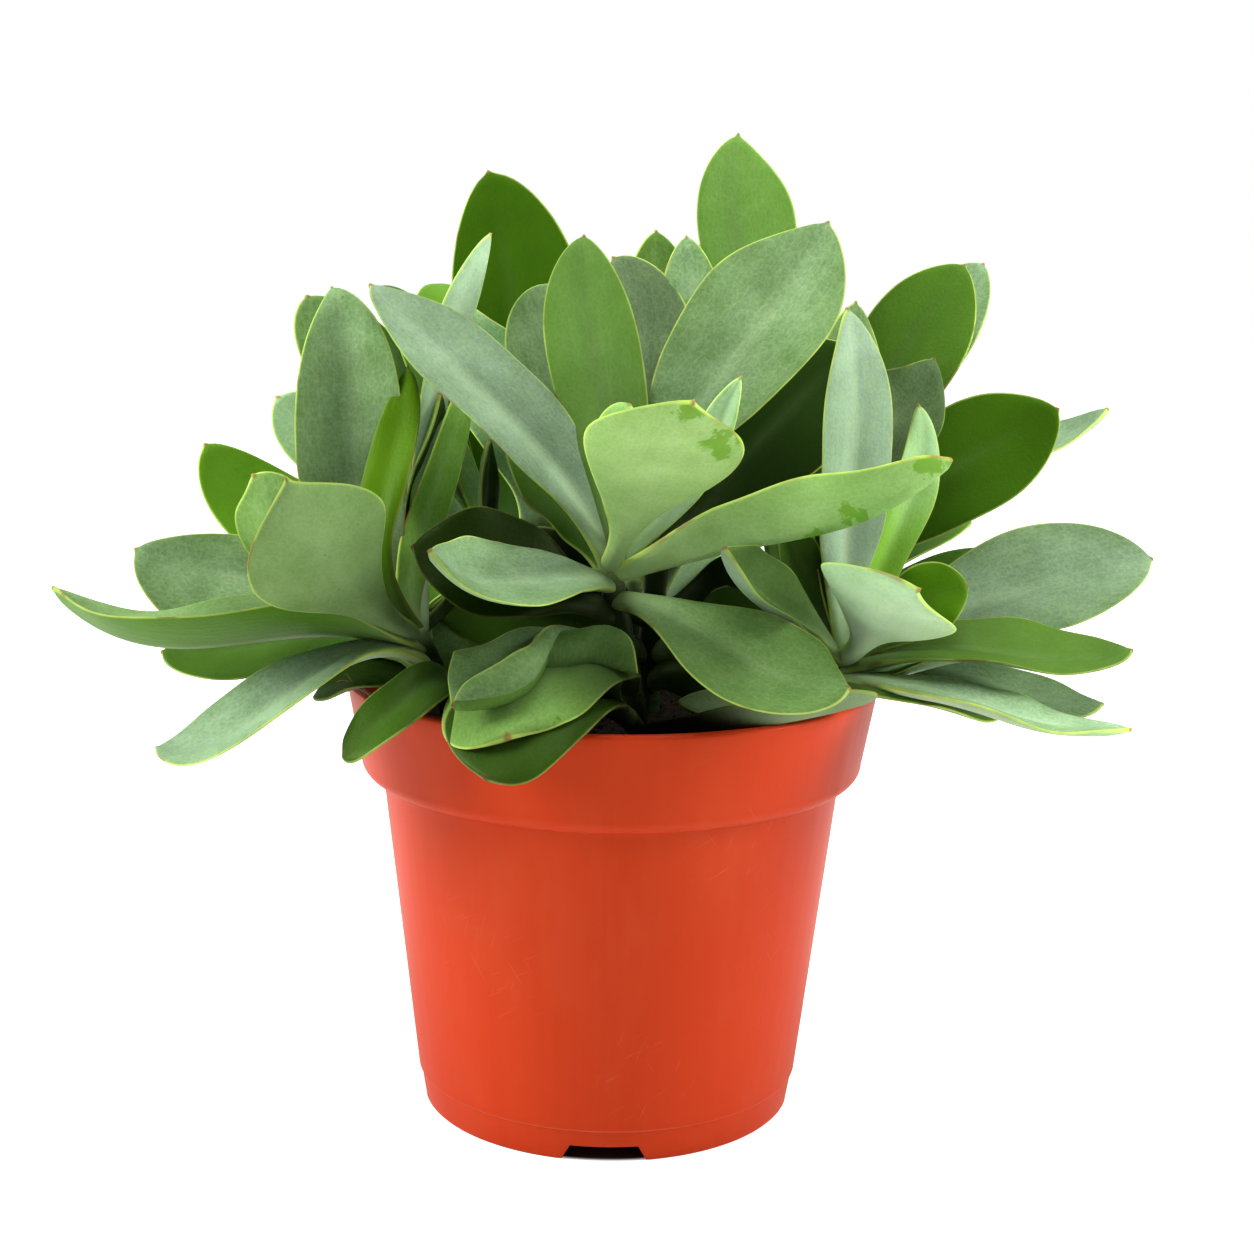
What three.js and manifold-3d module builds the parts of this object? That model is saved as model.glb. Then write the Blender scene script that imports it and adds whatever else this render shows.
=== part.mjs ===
// A potted senecio cephalophorus: fleshy, bloom-coated leaves on several short stems in a round
// nursery pot. Millimetres, +Z up. The origin is the centre of the pot's foot, on the surface
// that the pot stands on. The side shown to the viewer looks along -Y.

import * as THREE from 'three';
import { mergeVertices } from 'three/addons/utils/BufferGeometryUtils.js';
import Module from 'manifold-3d';

const wasm = await Module();
wasm.setup();

// Pot: a thin moulded wall with a deep rim band, a parting line low down and a foot ring
const potHeight = 99.5;
const rimRadius = 60;
const wall = 1.6;
const lipWidth = 2.4;
const lipRound = 0.9;
const bandBottom = 77.5;
const bandFootRadius = 56.8;
const bandRound = 3.4;
const bandRoundSteps = 3;
const bodyTopRadius = 52;
const partingHeight = 7.6;
const partingRadius = 43.9;
const partingStep = 0.5;
const footRadius = 42.4;
const footRingWidth = 2.2;
const floorUnderside = 3.6;
const floorTop = 5.4;
const potSegments = 36;

// Notches in the foot ring and drain holes in the floor
const notchCount = 4;
const notchWidthBelow = 18.6;
const notchWidthAbove = 15;
const notchDepth = 12;
const drainCount = 4;
const drainSides = 16;
const drainRadius = 4;
const drainCircle = 26;

// Soil: fills the pot to a little under the rim
const soilTop = 88.6;
const soilCrumb = 0.7;
const crumbLength = 3.4;
const clearance = 0.3;
const soilGap = 0.7;
const soilSectors = 24;
const soilRings = 4;

// Stems: each stands in a plain hole in the soil
const stemRadius = 3;
const stemSides = 8;
const stemDepth = 16;
const stemRun = 1.5;
const crownNarrow = 0.85;
const budLength = 2.5;
const budNarrow = 0.3;

// Leaves: thick in the middle, thinner at the margin, on a stout petiole
const bladeThickness = 2.3;
const marginThickness = 0.9;
const petioleThickness = 3.8;
const petioleMargin = 1.6;
const petioleWidth = 5;
const petioleFade = 0.5;
const tipHalfWidth = 0.4;
const foldUp = 6;
const cupUp = 6;
const bellyPlace = 0.64;
const endPower = 0.64;
const flareEnd = 0.4;
const flarePower = 1.25;
const openAtBase = 0.3;
const ringStep = 0.01;

// Where a leaf has its sections, along it and across it: more of them on a broad leaf
const broadLeaf = 24;
const broadStations = [0, 0.22, 0.42, 0.6, 0.77, 0.91, 1];
const broadPlaces = [-1, -0.5, 0, 0.5, 1];
const narrowStations = [0, 0.25, 0.5, 0.72, 0.9, 1];
const narrowPlaces = [-1, 0, 1];
const mergeTolerance = 0.12;
const levelTolerance = 0.01;

// Leaves on the far side: their mean width, how far up the stem each sits above the last, how
// much one differs from another, and the shares of reach and rise along the midrib
const fanWidth = 24;
const fanStep = 0.04;
const fanSpread = { heading: 4, reach: 0.07, rise: 0.1, wide: 3, tilt: 0.1 };
const fanArch = [[0.32, 0.42], [0.67, 0.8], [1, 1]];

// The leaves that can be told apart from the front, stem by stem. at is the height on the stem
// as a share of it. The midrib passes through third, twoThirds and tip. across points to the
// leaf's right-hand side, seen from its upper face. fold and cup raise both halves, in degrees.
// belly is where the leaf is widest, a low blunt gives a broad end, and flare is where the blade
// has opened out. skew moves width to the left-hand half, and curl rolls one half up.
const stems = [
  {
    name: 'stem_middle',
    foot: [6, -26, 89],
    crown: [-1, -21, 127],
    leaves: {
      sweepLeft: {
        at: 0.95, third: [-13.5, -21, 148.5], twoThirds: [-33.5, -16, 167.5], tip: [-54, -8, 186],
        wide: 24, across: [5, 7, 4], fold: 15, cup: 6, belly: 0.62, blunt: 0.66,
      },
      uprightFace: {
        at: 0.98, third: [-1, -16, 151], twoThirds: [-6, -4, 175], tip: [-8, 8, 197],
        wide: 22, across: [10, 0, 1], fold: 15, cup: 6, belly: 0.62, blunt: 0.66,
      },
      curlFront: {
        at: 1, third: [3, -42, 140], twoThirds: [9, -70, 157], tip: [14.5, -87, 169.5],
        wide: 32, across: [-10, 0, 1], fold: 3, cup: 4, belly: 0.65, blunt: 1.15, flare: 0.75,
      },
      reachRight: {
        at: 0.95, third: [28, -29.5, 134.5], twoThirds: [49, -38, 141], tip: [68.5, -42, 154.5],
        wide: 25, across: [1, -8, 6], fold: 35, cup: 0, belly: 0.62, blunt: 0.5, flare: 0.3,
      },
      lowRight: {
        at: 0.82, third: [16.5, -39.5, 118], twoThirds: [32, -52.5, 111.5], tip: [48, -59, 110],
        wide: 27, across: [-2, -8, -4.8], fold: 5, cup: 4, belly: 0.66, blunt: 0.66, flare: 0.5,
      },
      tongueLeft: {
        at: 0.9, third: [-14, -36, 127], twoThirds: [-26, -48, 128], tip: [-36.5, -58, 136.5],
        wide: 25, across: [-2, 9, 3.5], fold: 6, cup: 10, belly: 0.6, blunt: 0.64,
      },
      paddleRight: {
        at: 0.97, third: [17.5, -14, 161], twoThirds: [32.5, -4, 180], tip: [46, 5, 201],
        wide: 33, across: [8, -4, -4], fold: 12, cup: 6, belly: 0.64, blunt: 0.66,
      },
      smallHeart: {
        at: 1, third: [1, -26, 140], twoThirds: [0, -31, 152.5], tip: [3, -32, 163.5],
        wide: 10, across: [10, -3, 0], fold: 8, neck: 3, blunt: 0.45, belly: 0.75,
      },
      needleRight: {
        at: 1, third: [14, -27, 144], twoThirds: [20, -33, 157], tip: [25.5, -36, 170],
        wide: 9, across: [8, 0, -5], fold: 25, neck: 3,
      },
      shadeUnder: {
        at: 0.84, third: [-4.5, -13, 132], twoThirds: [-13, -7, 141], tip: [-24.5, -3, 151],
        wide: 19, across: [5, 7, 4], fold: 5,
      },
      shadeRound: {
        at: 0.7, third: [-15, -31, 126], twoThirds: [-28, -36, 130], tip: [-42, -39, 134],
        wide: 25, across: [0, 5, 8], fold: 4,
      },
      coinRight: {
        at: 0.15, third: [-3.5, -40, 104.5], twoThirds: [-5.5, -46, 111.5], tip: [-2, -38, 117.5],
        wide: 23, across: [10, 0, 2.5], fold: 5, blunt: 0.58, neck: 4, skew: 0, belly: 0.72, flare: 0.45,
      },
      coinLeft: {
        at: 0.55, third: [-13, -40, 113.5], twoThirds: [-17.5, -53, 109], tip: [-31.5, -64.5, 106.5],
        wide: 25, across: [-8, 3.5, 2.5], fold: 3, blunt: 0.36, cup: 3, curl: -95, skew: -0.3, belly: 0.8,
      },
      boatFront: {
        at: 0.3, third: [-5, -43, 110.5], twoThirds: [-16.5, -56, 106.8], tip: [-20, -67, 100.5],
        wide: 33, across: [-9, 4, 0], fold: 0, cup: -14, blunt: 0.5, belly: 0.6, skew: -0.3,
      },
      hangFront: {
        at: 0.1, third: [-6, -49, 103.5], twoThirds: [-17, -62, 100], tip: [-24.5, -68.5, 92.3],
        wide: 30, across: [-9, 3, 0], fold: 0, blunt: 0.56, belly: 0.66, skew: -0.3, cup: -3,
      },
      rimPale: {
        at: 0.06, third: [18, -45, 98], twoThirds: [37, -47, 101.5], tip: [56, -38, 104],
        wide: 14, across: [1, -9, 3], fold: 20,
      },
    },
 },
  {
    name: 'stem_left',
    foot: [-33, -20, 89],
    crown: [-42, -26, 113],
    leaves: {
      fanFront: {
        at: 0.95, third: [-51, -46, 124], twoThirds: [-57, -66, 138], tip: [-61.5, -78, 153],
        wide: 31, across: [-8, -2.5, -6], fold: 2, cup: 4, belly: 0.63, blunt: 1.1, flare: 0.66,
      },
      longTail: {
        at: 0.85, third: [-66, -35, 115], twoThirds: [-93, -35, 112], tip: [-121, -22, 121],
        wide: 28, across: [0, 10, 1], fold: 36, cup: 2, belly: 0.45, skew: 0.2,
      },
      dipLeft: {
        at: 0.72, third: [-57, -38, 109], twoThirds: [-75, -46, 97], tip: [-95, -43, 91],
        wide: 22, across: [-4, 8, 2], fold: 18, cup: 2, belly: 0.68, flare: 0.55,
      },
      darkBetween: {
        at: 0.66, third: [-61, -14, 109], twoThirds: [-82, -10, 105], tip: [-101, -8, 104],
        wide: 22, across: [0, 8, 5], fold: 5, blunt: 0.64,
      },
      greyOval: {
        at: 0.78, third: [-64, -4, 117], twoThirds: [-87, 4, 119], tip: [-109.5, 6, 125],
        wide: 26, across: [0, 4, 9], fold: 4, belly: 0.62, blunt: 0.56, skew: 0.22,
      },
      tallFace: {
        at: 0.96, third: [-55, -20, 139], twoThirds: [-58, -12, 165], tip: [-63, -2, 185],
        wide: 25, across: [10, 1, 1], fold: 17, cup: 6, belly: 0.53, blunt: 0.68,
      },
      brightBlade: {
        at: 1, third: [-49.5, -33, 133], twoThirds: [-47.5, -25, 149.5], tip: [-45, -13, 169],
        wide: 11, across: [10, -2, 2], fold: 4, belly: 0.66, blunt: 0.6, flare: 0.6,
      },
      edgeBlade: {
        at: 1, third: [-43.5, -22, 128.5], twoThirds: [-38, -12, 147.5], tip: [-33.5, -2, 167],
        wide: 10, across: [7, 7, 0], fold: 10, belly: 0.6,
      },
      paleNeedle: {
        at: 0.97, third: [-42, -8, 150.5], twoThirds: [-37.5, 4, 177], tip: [-29, 12, 197],
        wide: 9, across: [7, 6, 0], fold: 12, belly: 0.68,
      },
      lightTip: {
        at: 0.9, third: [-66, -32, 129.5], twoThirds: [-72, -34, 140], tip: [-75, -36, 148],
        wide: 17, across: [7, 4, 5], fold: 5,
      },
      innerA: {
        at: 1, third: [-46, -14, 133], twoThirds: [-43, -8, 146.5], tip: [-39, -3, 162.5],
        wide: 12, across: [4, 9, 0], fold: 18, neck: 3,
      },
      innerB: {
        at: 1, third: [-31.5, 0, 124.5], twoThirds: [-29.5, 2, 138], tip: [-28.5, 4, 151.5],
        wide: 9, across: [4, 9, 0], fold: 18, neck: 3,
      },
      overRim: {
        at: 0.4, third: [-38, -42, 105.5], twoThirds: [-47.5, -51, 98.5], tip: [-54.5, -52, 92.5],
        wide: 13, across: [-4, 7, 4], fold: 4, belly: 0.6,
      },
      darkRim: {
        at: 0.3, third: [-46, -24, 103], twoThirds: [-56, -24, 102], tip: [-65, -20, 97],
        wide: 13, across: [0, 9, 3], fold: 5,
      },
      greyLow: {
        at: 0.5, third: [-52, -8, 110], twoThirds: [-62, -4, 111.5], tip: [-71, -2, 111.5],
        wide: 11, across: [0, 6, 8], fold: 6,
      },
    },
 },
  {
    name: 'stem_right',
    foot: [42, -9, 89],
    crown: [51, -14, 108],
    leaves: {
      tallPale: {
        at: 0.97, third: [50, -15, 134], twoThirds: [51, -13, 158], tip: [49, -10, 183],
        wide: 20, across: [8, 5, 0], fold: 10, cup: 4, belly: 0.6,
      },
      tallTip: {
        at: 0.93, third: [57.5, -10, 125], twoThirds: [65, -6, 143], tip: [66, -4, 162],
        wide: 12, across: [9, 4, 0], fold: 8,
      },
      darkGrey: {
        at: 0.9, third: [59, 6, 148], twoThirds: [65, 14, 159], tip: [72.5, 20, 170.5],
        wide: 21, across: [8, 2, -5], fold: 4, blunt: 0.62,
      },
      boatLeft: {
        at: 0.9, third: [38, -27, 117], twoThirds: [28, -38, 126], tip: [22.5, -45, 136],
        wide: 20, across: [2, 9, 2], fold: 35, cup: 2, belly: 0.58,
      },
      curlRight: {
        at: 0.9, third: [54, -32, 116], twoThirds: [55, -52, 126], tip: [60, -66, 131.5],
        wide: 31, across: [-9, 0, 5], fold: 2, cup: 4, belly: 0.63, blunt: 1.2, flare: 0.7,
      },
      smallRound: {
        at: 0.85, third: [62.5, -17, 116.5], twoThirds: [69.5, -18, 121.5], tip: [77, -18, 124],
        wide: 16, across: [2, -4, -9], fold: 3, blunt: 0.55,
      },
      bigGrey: {
        at: 0.8, third: [77, -2, 115], twoThirds: [99, 2, 121.5], tip: [122, 4, 127],
        wide: 30, across: [-1, -7, -7], fold: 9, belly: 0.66, blunt: 0.64, skew: 0,
      },
      troughRight: {
        at: 0.72, third: [73, -20, 110], twoThirds: [94, -20, 108], tip: [114, -16, 110],
        wide: 23, across: [0, -9, -3], fold: 14, cup: 6, belly: 0.62,
      },
      longLow: {
        at: 0.66, third: [73.5, -32, 102], twoThirds: [89, -36, 98], tip: [111, -32, 96],
        wide: 17, across: [-2, -9, -1], fold: 12, belly: 0.56,
      },
      behindLow: {
        at: 0.6, third: [74, -4, 102], twoThirds: [94, -4, 96.5], tip: [111, -4, 95],
        wide: 15, across: [-1, -9, -4], fold: 5,
      },
      rimDark: {
        at: 0.3, third: [57, -22, 101.8], twoThirds: [73.5, -20, 98.5], tip: [85.5, -14, 95],
        wide: 14, across: [-1, -9, -2], fold: 4,
      },
      soilPale: {
        at: 0.2, third: [35, -26, 99.5], twoThirds: [26, -31, 99.5], tip: [13.5, -36, 101],
        wide: 11, across: [-2, 9, 5], fold: 3, blunt: 0.6,
      },
      innerC: {
        at: 1, third: [43, -14, 122], twoThirds: [39, -16, 130], tip: [36, -16, 137],
        wide: 11, across: [8, 4, 2], fold: 18, neck: 3,
      },
      innerD: {
        at: 1, third: [48, -12, 121], twoThirds: [47, -10, 131], tip: [45, -8, 141],
        wide: 11, across: [8, 4, 0], fold: 18, neck: 3,
      },
    },
 },
  {
    name: 'stem_backLeft',
    foot: [-24, 22, 89],
    crown: [-26, 23, 116],
    leaves: {
      bigDark: {
        at: 0.97, third: [-24, 28, 149.5], twoThirds: [-25.5, 34, 180.5], tip: [-31.5, 38, 211],
        wide: 32, across: [10, 0, 1], fold: 4, belly: 0.62, blunt: 0.56, skew: -0.1,
      },
      peekTop: {
        at: 0.93, third: [-41, 22, 142], twoThirds: [-60, 22, 165], tip: [-72, 22, 182],
        wide: 24, across: [6, 5, 5], fold: 4,
      },
      peekSide: {
        at: 0.87, third: [-42, 10, 132], twoThirds: [-63, 8, 148], tip: [-77, 8, 160],
        wide: 22, across: [5, 6, 6], fold: 4,
      },
      brightLeft: {
        at: 0.8, third: [-51, 24, 119], twoThirds: [-77, 26, 130.5], tip: [-97, 26, 147],
        wide: 23, across: [5, 5, 7], fold: 4, skew: 0.25, blunt: 0.55,
      },
      greyBehind: {
        at: 1, third: [-18, 14, 144], twoThirds: [-28, 14, 162.5], tip: [-34.5, 14, 181.5],
        wide: 24, across: [9, 3, 1], fold: 8,
      },
      innerI: {
        at: 0.4, third: [-28, 12, 104], twoThirds: [-36, 4, 107], tip: [-46, -3, 108],
        wide: 21, across: [0, 2, 9], fold: 5,
      },
    },
 },
  {
    name: 'stem_backMiddle',
    foot: [8, 10, 89],
    crown: [10, 10, 130],
    leaves: {
      topPaddle: {
        at: 0.97, third: [30, 24, 163], twoThirds: [28, 32, 192], tip: [27, 38, 220.5],
        wide: 24, across: [10, 0, 1], fold: 12, belly: 0.74, skew: -0.2, blunt: 0.7,
      },
      shadeLeft: {
        at: 0.94, third: [-1, 6, 146], twoThirds: [-11, 12, 168], tip: [-15, 18, 186],
        wide: 30, across: [9, 3, 2], fold: 4, blunt: 0.5,
      },
      greyShade: {
        at: 1, third: [5, 6, 147], twoThirds: [5, 13, 171], tip: [-2, 20, 192],
        wide: 26, across: [10, 1, 1], fold: 4,
      },
      tipA: {
        at: 1, third: [12, 16, 146], twoThirds: [10, 24, 173], tip: [8, 30, 198],
        wide: 20, across: [9, 3, 0], fold: 6,
      },
      tipB: {
        at: 1, third: [17, 12, 149], twoThirds: [17, 16, 174], tip: [15, 22, 197],
        wide: 17, across: [10, -1, 0], fold: 10,
      },
      tipC: {
        at: 0.94, third: [17, 30, 145], twoThirds: [22, 42, 172], tip: [20, 50, 196],
        wide: 22, across: [10, 0, 0], fold: 6,
      },
      shadeRight: {
        at: 0.86, third: [24, 4, 143], twoThirds: [39, 8, 159], tip: [53, 12, 173],
        wide: 32, across: [8, -4, -5], fold: 4,
      },
      innerE: {
        at: 0.5, third: [-6, 6, 117], twoThirds: [-18, 9, 121], tip: [-29, 11, 124],
        wide: 21, across: [4, 2, 8], fold: 5,
      },
      innerF: {
        at: 0.3, third: [-8, 2, 109], twoThirds: [-22, 0, 112], tip: [-42, -2, 113.5],
        wide: 20, across: [0, 3, 9], fold: 5,
      },
      innerG: {
        at: 0.5, third: [22, 4, 116], twoThirds: [30, 3, 118], tip: [38, 2, 120],
        wide: 20, across: [-3, 2, 8], fold: 5,
      },
      innerH: {
        at: 0.3, third: [20, 0, 109], twoThirds: [28, -2, 111], tip: [37, -2, 111],
        wide: 20, across: [0, 3, 9], fold: 5,
      },
      innerJ: {
        at: 0.12, third: [14, 4, 99], twoThirds: [22, 0, 100], tip: [30, -4, 101],
        wide: 15, across: [0, 3, 9], fold: 5,
      },
    },
 },
  {
    name: 'stem_backRight',
    foot: [34, 24, 89],
    crown: [40, 24, 114],
    leaves: {
      brightRight: {
        at: 0.96, third: [55, 30, 148], twoThirds: [68, 36, 172], tip: [82, 42, 191],
        wide: 26.5, across: [7, -3, -6], fold: 13, belly: 0.66, blunt: 0.64, skew: -0.12,
      },
      behindBright: {
        at: 0.9, third: [59, 38, 149], twoThirds: [75, 46, 174], tip: [88, 52, 191],
        wide: 21, across: [7, -3, -6], fold: 4,
      },
      darkRight: {
        at: 0.84, third: [65, 22, 135], twoThirds: [85.5, 26, 148], tip: [103.5, 28, 158.5],
        wide: 27, across: [4, -3, -9], fold: 4, belly: 0.62, blunt: 0.6,
      },
      needleFar: {
        at: 0.8, third: [75, 38, 137], twoThirds: [100, 44, 147], tip: [119, 46, 157],
        wide: 17, across: [0, -9, -3], fold: 8,
      },
      peekMid: {
        at: 1, third: [49, 14, 138], twoThirds: [52, 16, 161], tip: [54, 20, 183],
        wide: 18, across: [9, 2, 0], fold: 6,
      },
    },
 },
  {
    name: 'stem_rear',
    foot: [4, 40, 89],
    crown: [4, 43, 112],
    leaves: {},
  },
];

// The leaves on the far side follow a rule. Each row is a fan of leaves between two headings, in
// degrees about +Z from +X, with a small seeded draw on heading, length and rise.
const fans = [
  { stem: 'stem_left', count: 2, from: 146, to: 172, reach: 36, rise: 22, at: 0.5 },
  { stem: 'stem_right', count: 2, from: 4, to: 28, reach: 34, rise: 10, at: 0.4 },
  { stem: 'stem_backLeft', count: 4, from: 106, to: 168, reach: 64, rise: 26, at: 0.45 },
  { stem: 'stem_backLeft', count: 3, from: 92, to: 156, reach: 38, rise: 66, at: 0.85 },
  { stem: 'stem_backMiddle', count: 2, from: 62, to: 112, reach: 34, rise: 40, at: 0.6 },
  { stem: 'stem_backRight', count: 4, from: 10, to: 68, reach: 64, rise: 24, at: 0.45 },
  { stem: 'stem_backRight', count: 2, from: 56, to: 84, reach: 34, rise: 60, at: 0.85 },
  { stem: 'stem_rear', count: 3, from: 62, to: 122, reach: 44, rise: 24, at: 0.4 },
  { stem: 'stem_rear', count: 2, from: 68, to: 112, reach: 27, rise: 56, at: 0.9 },
];

const radians = THREE.MathUtils.degToRad;

// A draw between -1 and 1 that depends only on its seed
function draw(seed) {
  const value = Math.sin(seed * 12.9898) * 43758.5453;
  return 2 * (value - Math.floor(value)) - 1;
}

function smooth(x) {
  const t = Math.min(1, Math.max(0, x));
  return t * t * (3 - 2 * t);
}

function vector([x, y, z]) {
  return new THREE.Vector3(x, y, z);
}

// Solids and meshes

function solidOf(geometry) {
  const bare = geometry.clone();
  bare.deleteAttribute('normal');
  bare.deleteAttribute('uv');
  const merged = mergeVertices(bare, 1e-4);
  const corners = Array.from(merged.index.array);
  const kept = [];
  for (let i = 0; i < corners.length; i += 3) {
    const [a, b, c] = corners.slice(i, i + 3);
    if (a !== b && b !== c && c !== a) kept.push(a, b, c);
  }
  return new wasm.Manifold(new wasm.Mesh({
    numProp: 3,
    vertProperties: new Float32Array(merged.attributes.position.array),
    triVerts: new Uint32Array(kept),
  }));
}

// Keeps the largest closed surface: a loose scrap is dropped and a sealed hollow is filled
function outerBody(solid) {
  const bodies = solid.decompose();
  return bodies.reduce((best, body) => (body.volume() > best.volume() ? body : best));
}

function meshOf(name, solid, material) {
  const { vertProperties, triVerts } = solid.getMesh();
  const indexed = new THREE.BufferGeometry();
  indexed.setAttribute('position', new THREE.BufferAttribute(new Float32Array(vertProperties), 3));
  indexed.setIndex(new THREE.BufferAttribute(new Uint32Array(triVerts), 1));
  const geometry = indexed.toNonIndexed();
  geometry.computeVertexNormals();
  const mesh = new THREE.Mesh(geometry, material);
  mesh.name = name;
  return mesh;
}

// A closed body through rings of points. Each ring runs along its upper face and back along the
// lower one, anticlockwise seen from the last ring. The lower quads are split the other way, so
// both faces of a thin blade fold alike.
function loftGeometry(rings) {
  const sides = rings[0].length;
  const half = sides / 2;
  const corners = [];
  for (let r = 0; r < rings.length - 1; r++) {
    for (let s = 0; s < sides; s++) {
      const a = r * sides + s;
      const b = r * sides + ((s + 1) % sides);
      const c = a + sides;
      const d = b + sides;
      if (s < half) corners.push(a, b, d, a, d, c);
      else corners.push(a, b, c, b, d, c);
    }
  }
  const last = (rings.length - 1) * sides;
  for (let s = 0; s < half - 1; s++) {
    const [a, b, c, d] = [s, s + 1, sides - 2 - s, sides - 1 - s];
    corners.push(a, c, b, a, d, c);
    corners.push(last + a, last + b, last + c, last + a, last + c, last + d);
  }
  const positions = rings.flat().flatMap((point) => [point.x, point.y, point.z]);
  const geometry = new THREE.BufferGeometry();
  geometry.setAttribute('position', new THREE.BufferAttribute(new Float32Array(positions), 3));
  geometry.setIndex(corners);
  return geometry;
}

// Turns a profile of [radius, height] pairs about the Z axis
function latheGeometry(profile, segments) {
  const points = profile.map(([radius, height]) => new THREE.Vector2(radius, height));
  return new THREE.LatheGeometry(points, segments).rotateX(Math.PI / 2);
}

// An upright prism whose sides match those of the stems
function prismGeometry(radius, bottom, top, [x, y]) {
  const ring = (height) => Array.from({ length: stemSides }, (_, i) => {
    const angle = (2 * Math.PI * i) / stemSides;
    return new THREE.Vector3(x + radius * Math.cos(angle), y + radius * Math.sin(angle), height);
  });
  return loftGeometry([ring(bottom), ring(top)]);
}

// Pot

function potOuterRadius(height) {
  if (height <= partingHeight) {
    return THREE.MathUtils.mapLinear(height, 0, partingHeight, footRadius, partingRadius - partingStep);
  }
  if (height <= bandBottom) {
    return THREE.MathUtils.mapLinear(height, partingHeight, bandBottom, partingRadius, bodyTopRadius);
  }
  const bandFoot = bandBottom + bandRound;
  return THREE.MathUtils.mapLinear(height, bandFoot, potHeight, bandFootRadius, rimRadius);
}

function potInnerRadius(height) {
  const bandFoot = bandBottom + bandRound;
  if (height <= bandBottom - wall) return potOuterRadius(height) - wall;
  if (height >= bandFoot) return potOuterRadius(height) - lipWidth;
  const [low, high] = [bodyTopRadius - wall, bandFootRadius - lipWidth];
  return THREE.MathUtils.mapLinear(height, bandBottom - wall, bandFoot, low, high);
}

function potSolid() {
  const bandFoot = bandBottom + bandRound;
  const lipBottom = potHeight - lipRound;
  const outline = [
    [0, floorUnderside],
    [footRadius - footRingWidth, floorUnderside],
    [footRadius - footRingWidth, 0],
    [footRadius, 0],
    [partingRadius - partingStep, partingHeight - 0.3],
    [partingRadius, partingHeight],
    [bodyTopRadius, bandBottom],
  ];
  for (let i = 0; i <= bandRoundSteps; i++) {
    const angle = radians(90 * (i / bandRoundSteps));
    const inset = bandRound * (1 - Math.sin(angle));
    outline.push([bandFootRadius - inset, bandFoot - bandRound * Math.cos(angle)]);
  }
  outline.push(
    [rimRadius, lipBottom],
    [rimRadius - lipRound, potHeight],
    [rimRadius - lipWidth + lipRound / 2, potHeight],
    [rimRadius - lipWidth, lipBottom],
    [bandFootRadius - lipWidth, bandFoot],
    [bodyTopRadius - wall, bandBottom - wall],
    [partingRadius - wall, partingHeight],
    [potOuterRadius(floorTop) - wall, floorTop],
    [0, floorTop],
  );
  let pot = solidOf(latheGeometry(outline, potSegments));

  const notch = new THREE.Shape([
    new THREE.Vector2(-notchWidthBelow / 2, -1),
    new THREE.Vector2(notchWidthBelow / 2, -1),
    new THREE.Vector2(notchWidthBelow / 2, 0),
    new THREE.Vector2(notchWidthAbove / 2, floorUnderside),
    new THREE.Vector2(-notchWidthAbove / 2, floorUnderside),
    new THREE.Vector2(-notchWidthBelow / 2, 0),
  ]);
  for (let i = 0; i < notchCount; i++) {
    const cut = new THREE.ExtrudeGeometry(notch, { depth: notchDepth, bevelEnabled: false })
      .rotateX(Math.PI / 2)
      .translate(0, notchDepth / 2 - footRadius, 0)
      .rotateZ((2 * Math.PI * i) / notchCount);
    pot = pot.subtract(solidOf(cut));
  }
  for (let i = 0; i < drainCount; i++) {
    const angle = (2 * Math.PI * (i + 0.5)) / drainCount;
    const cut = new THREE.CylinderGeometry(drainRadius, drainRadius, 2 * floorTop, drainSides)
      .rotateX(Math.PI / 2)
      .translate(drainCircle * Math.cos(angle), drainCircle * Math.sin(angle), floorUnderside);
    pot = pot.subtract(solidOf(cut));
  }
  return pot;
}

// Soil

// Crumbs: two sets of low waves that cross each other
function soilHeight(x, y) {
  const broad = Math.sin(x / crumbLength + 1.3) * Math.cos(y / crumbLength);
  const slanting = Math.sin((1.6 * y - 1.3 * x) / crumbLength);
  return soilTop + soilCrumb * (broad + 0.6 * slanting);
}

function soilSolid() {
  const bottom = floorTop + clearance;
  const neck = bandBottom - wall;
  const edge = potInnerRadius(soilTop) - soilGap;
  const outline = [
    [0, bottom],
    [potInnerRadius(bottom) - soilGap, bottom],
    [potInnerRadius(neck) - soilGap, neck],
  ];
  for (let i = soilRings; i >= 0; i--) outline.push([(edge * i) / soilRings, soilTop]);
  const geometry = latheGeometry(outline, soilSectors);
  const position = geometry.attributes.position;
  for (let i = 0; i < position.count; i++) {
    if (Math.abs(position.getZ(i) - soilTop) > levelTolerance) continue;
    position.setZ(i, soilHeight(position.getX(i), position.getY(i)));
  }
  let soil = solidOf(geometry);
  for (const { foot } of stems) {
    const hole = prismGeometry(stemRadius + clearance, soilTop - stemDepth, potHeight, foot);
    soil = soil.subtract(solidOf(hole));
  }
  return outerBody(soil);
}

// Leaves

// The midrib is the cubic through four points spaced evenly along it
function midrib(points, t) {
  const shares = [
    -4.5 * (t - 1 / 3) * (t - 2 / 3) * (t - 1),
    13.5 * t * (t - 2 / 3) * (t - 1),
    -13.5 * t * (t - 1 / 3) * (t - 1),
    4.5 * t * (t - 1 / 3) * (t - 2 / 3),
  ];
  return points.reduce((sum, point, i) => sum.addScaledVector(point, shares[i]), new THREE.Vector3());
}

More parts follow.
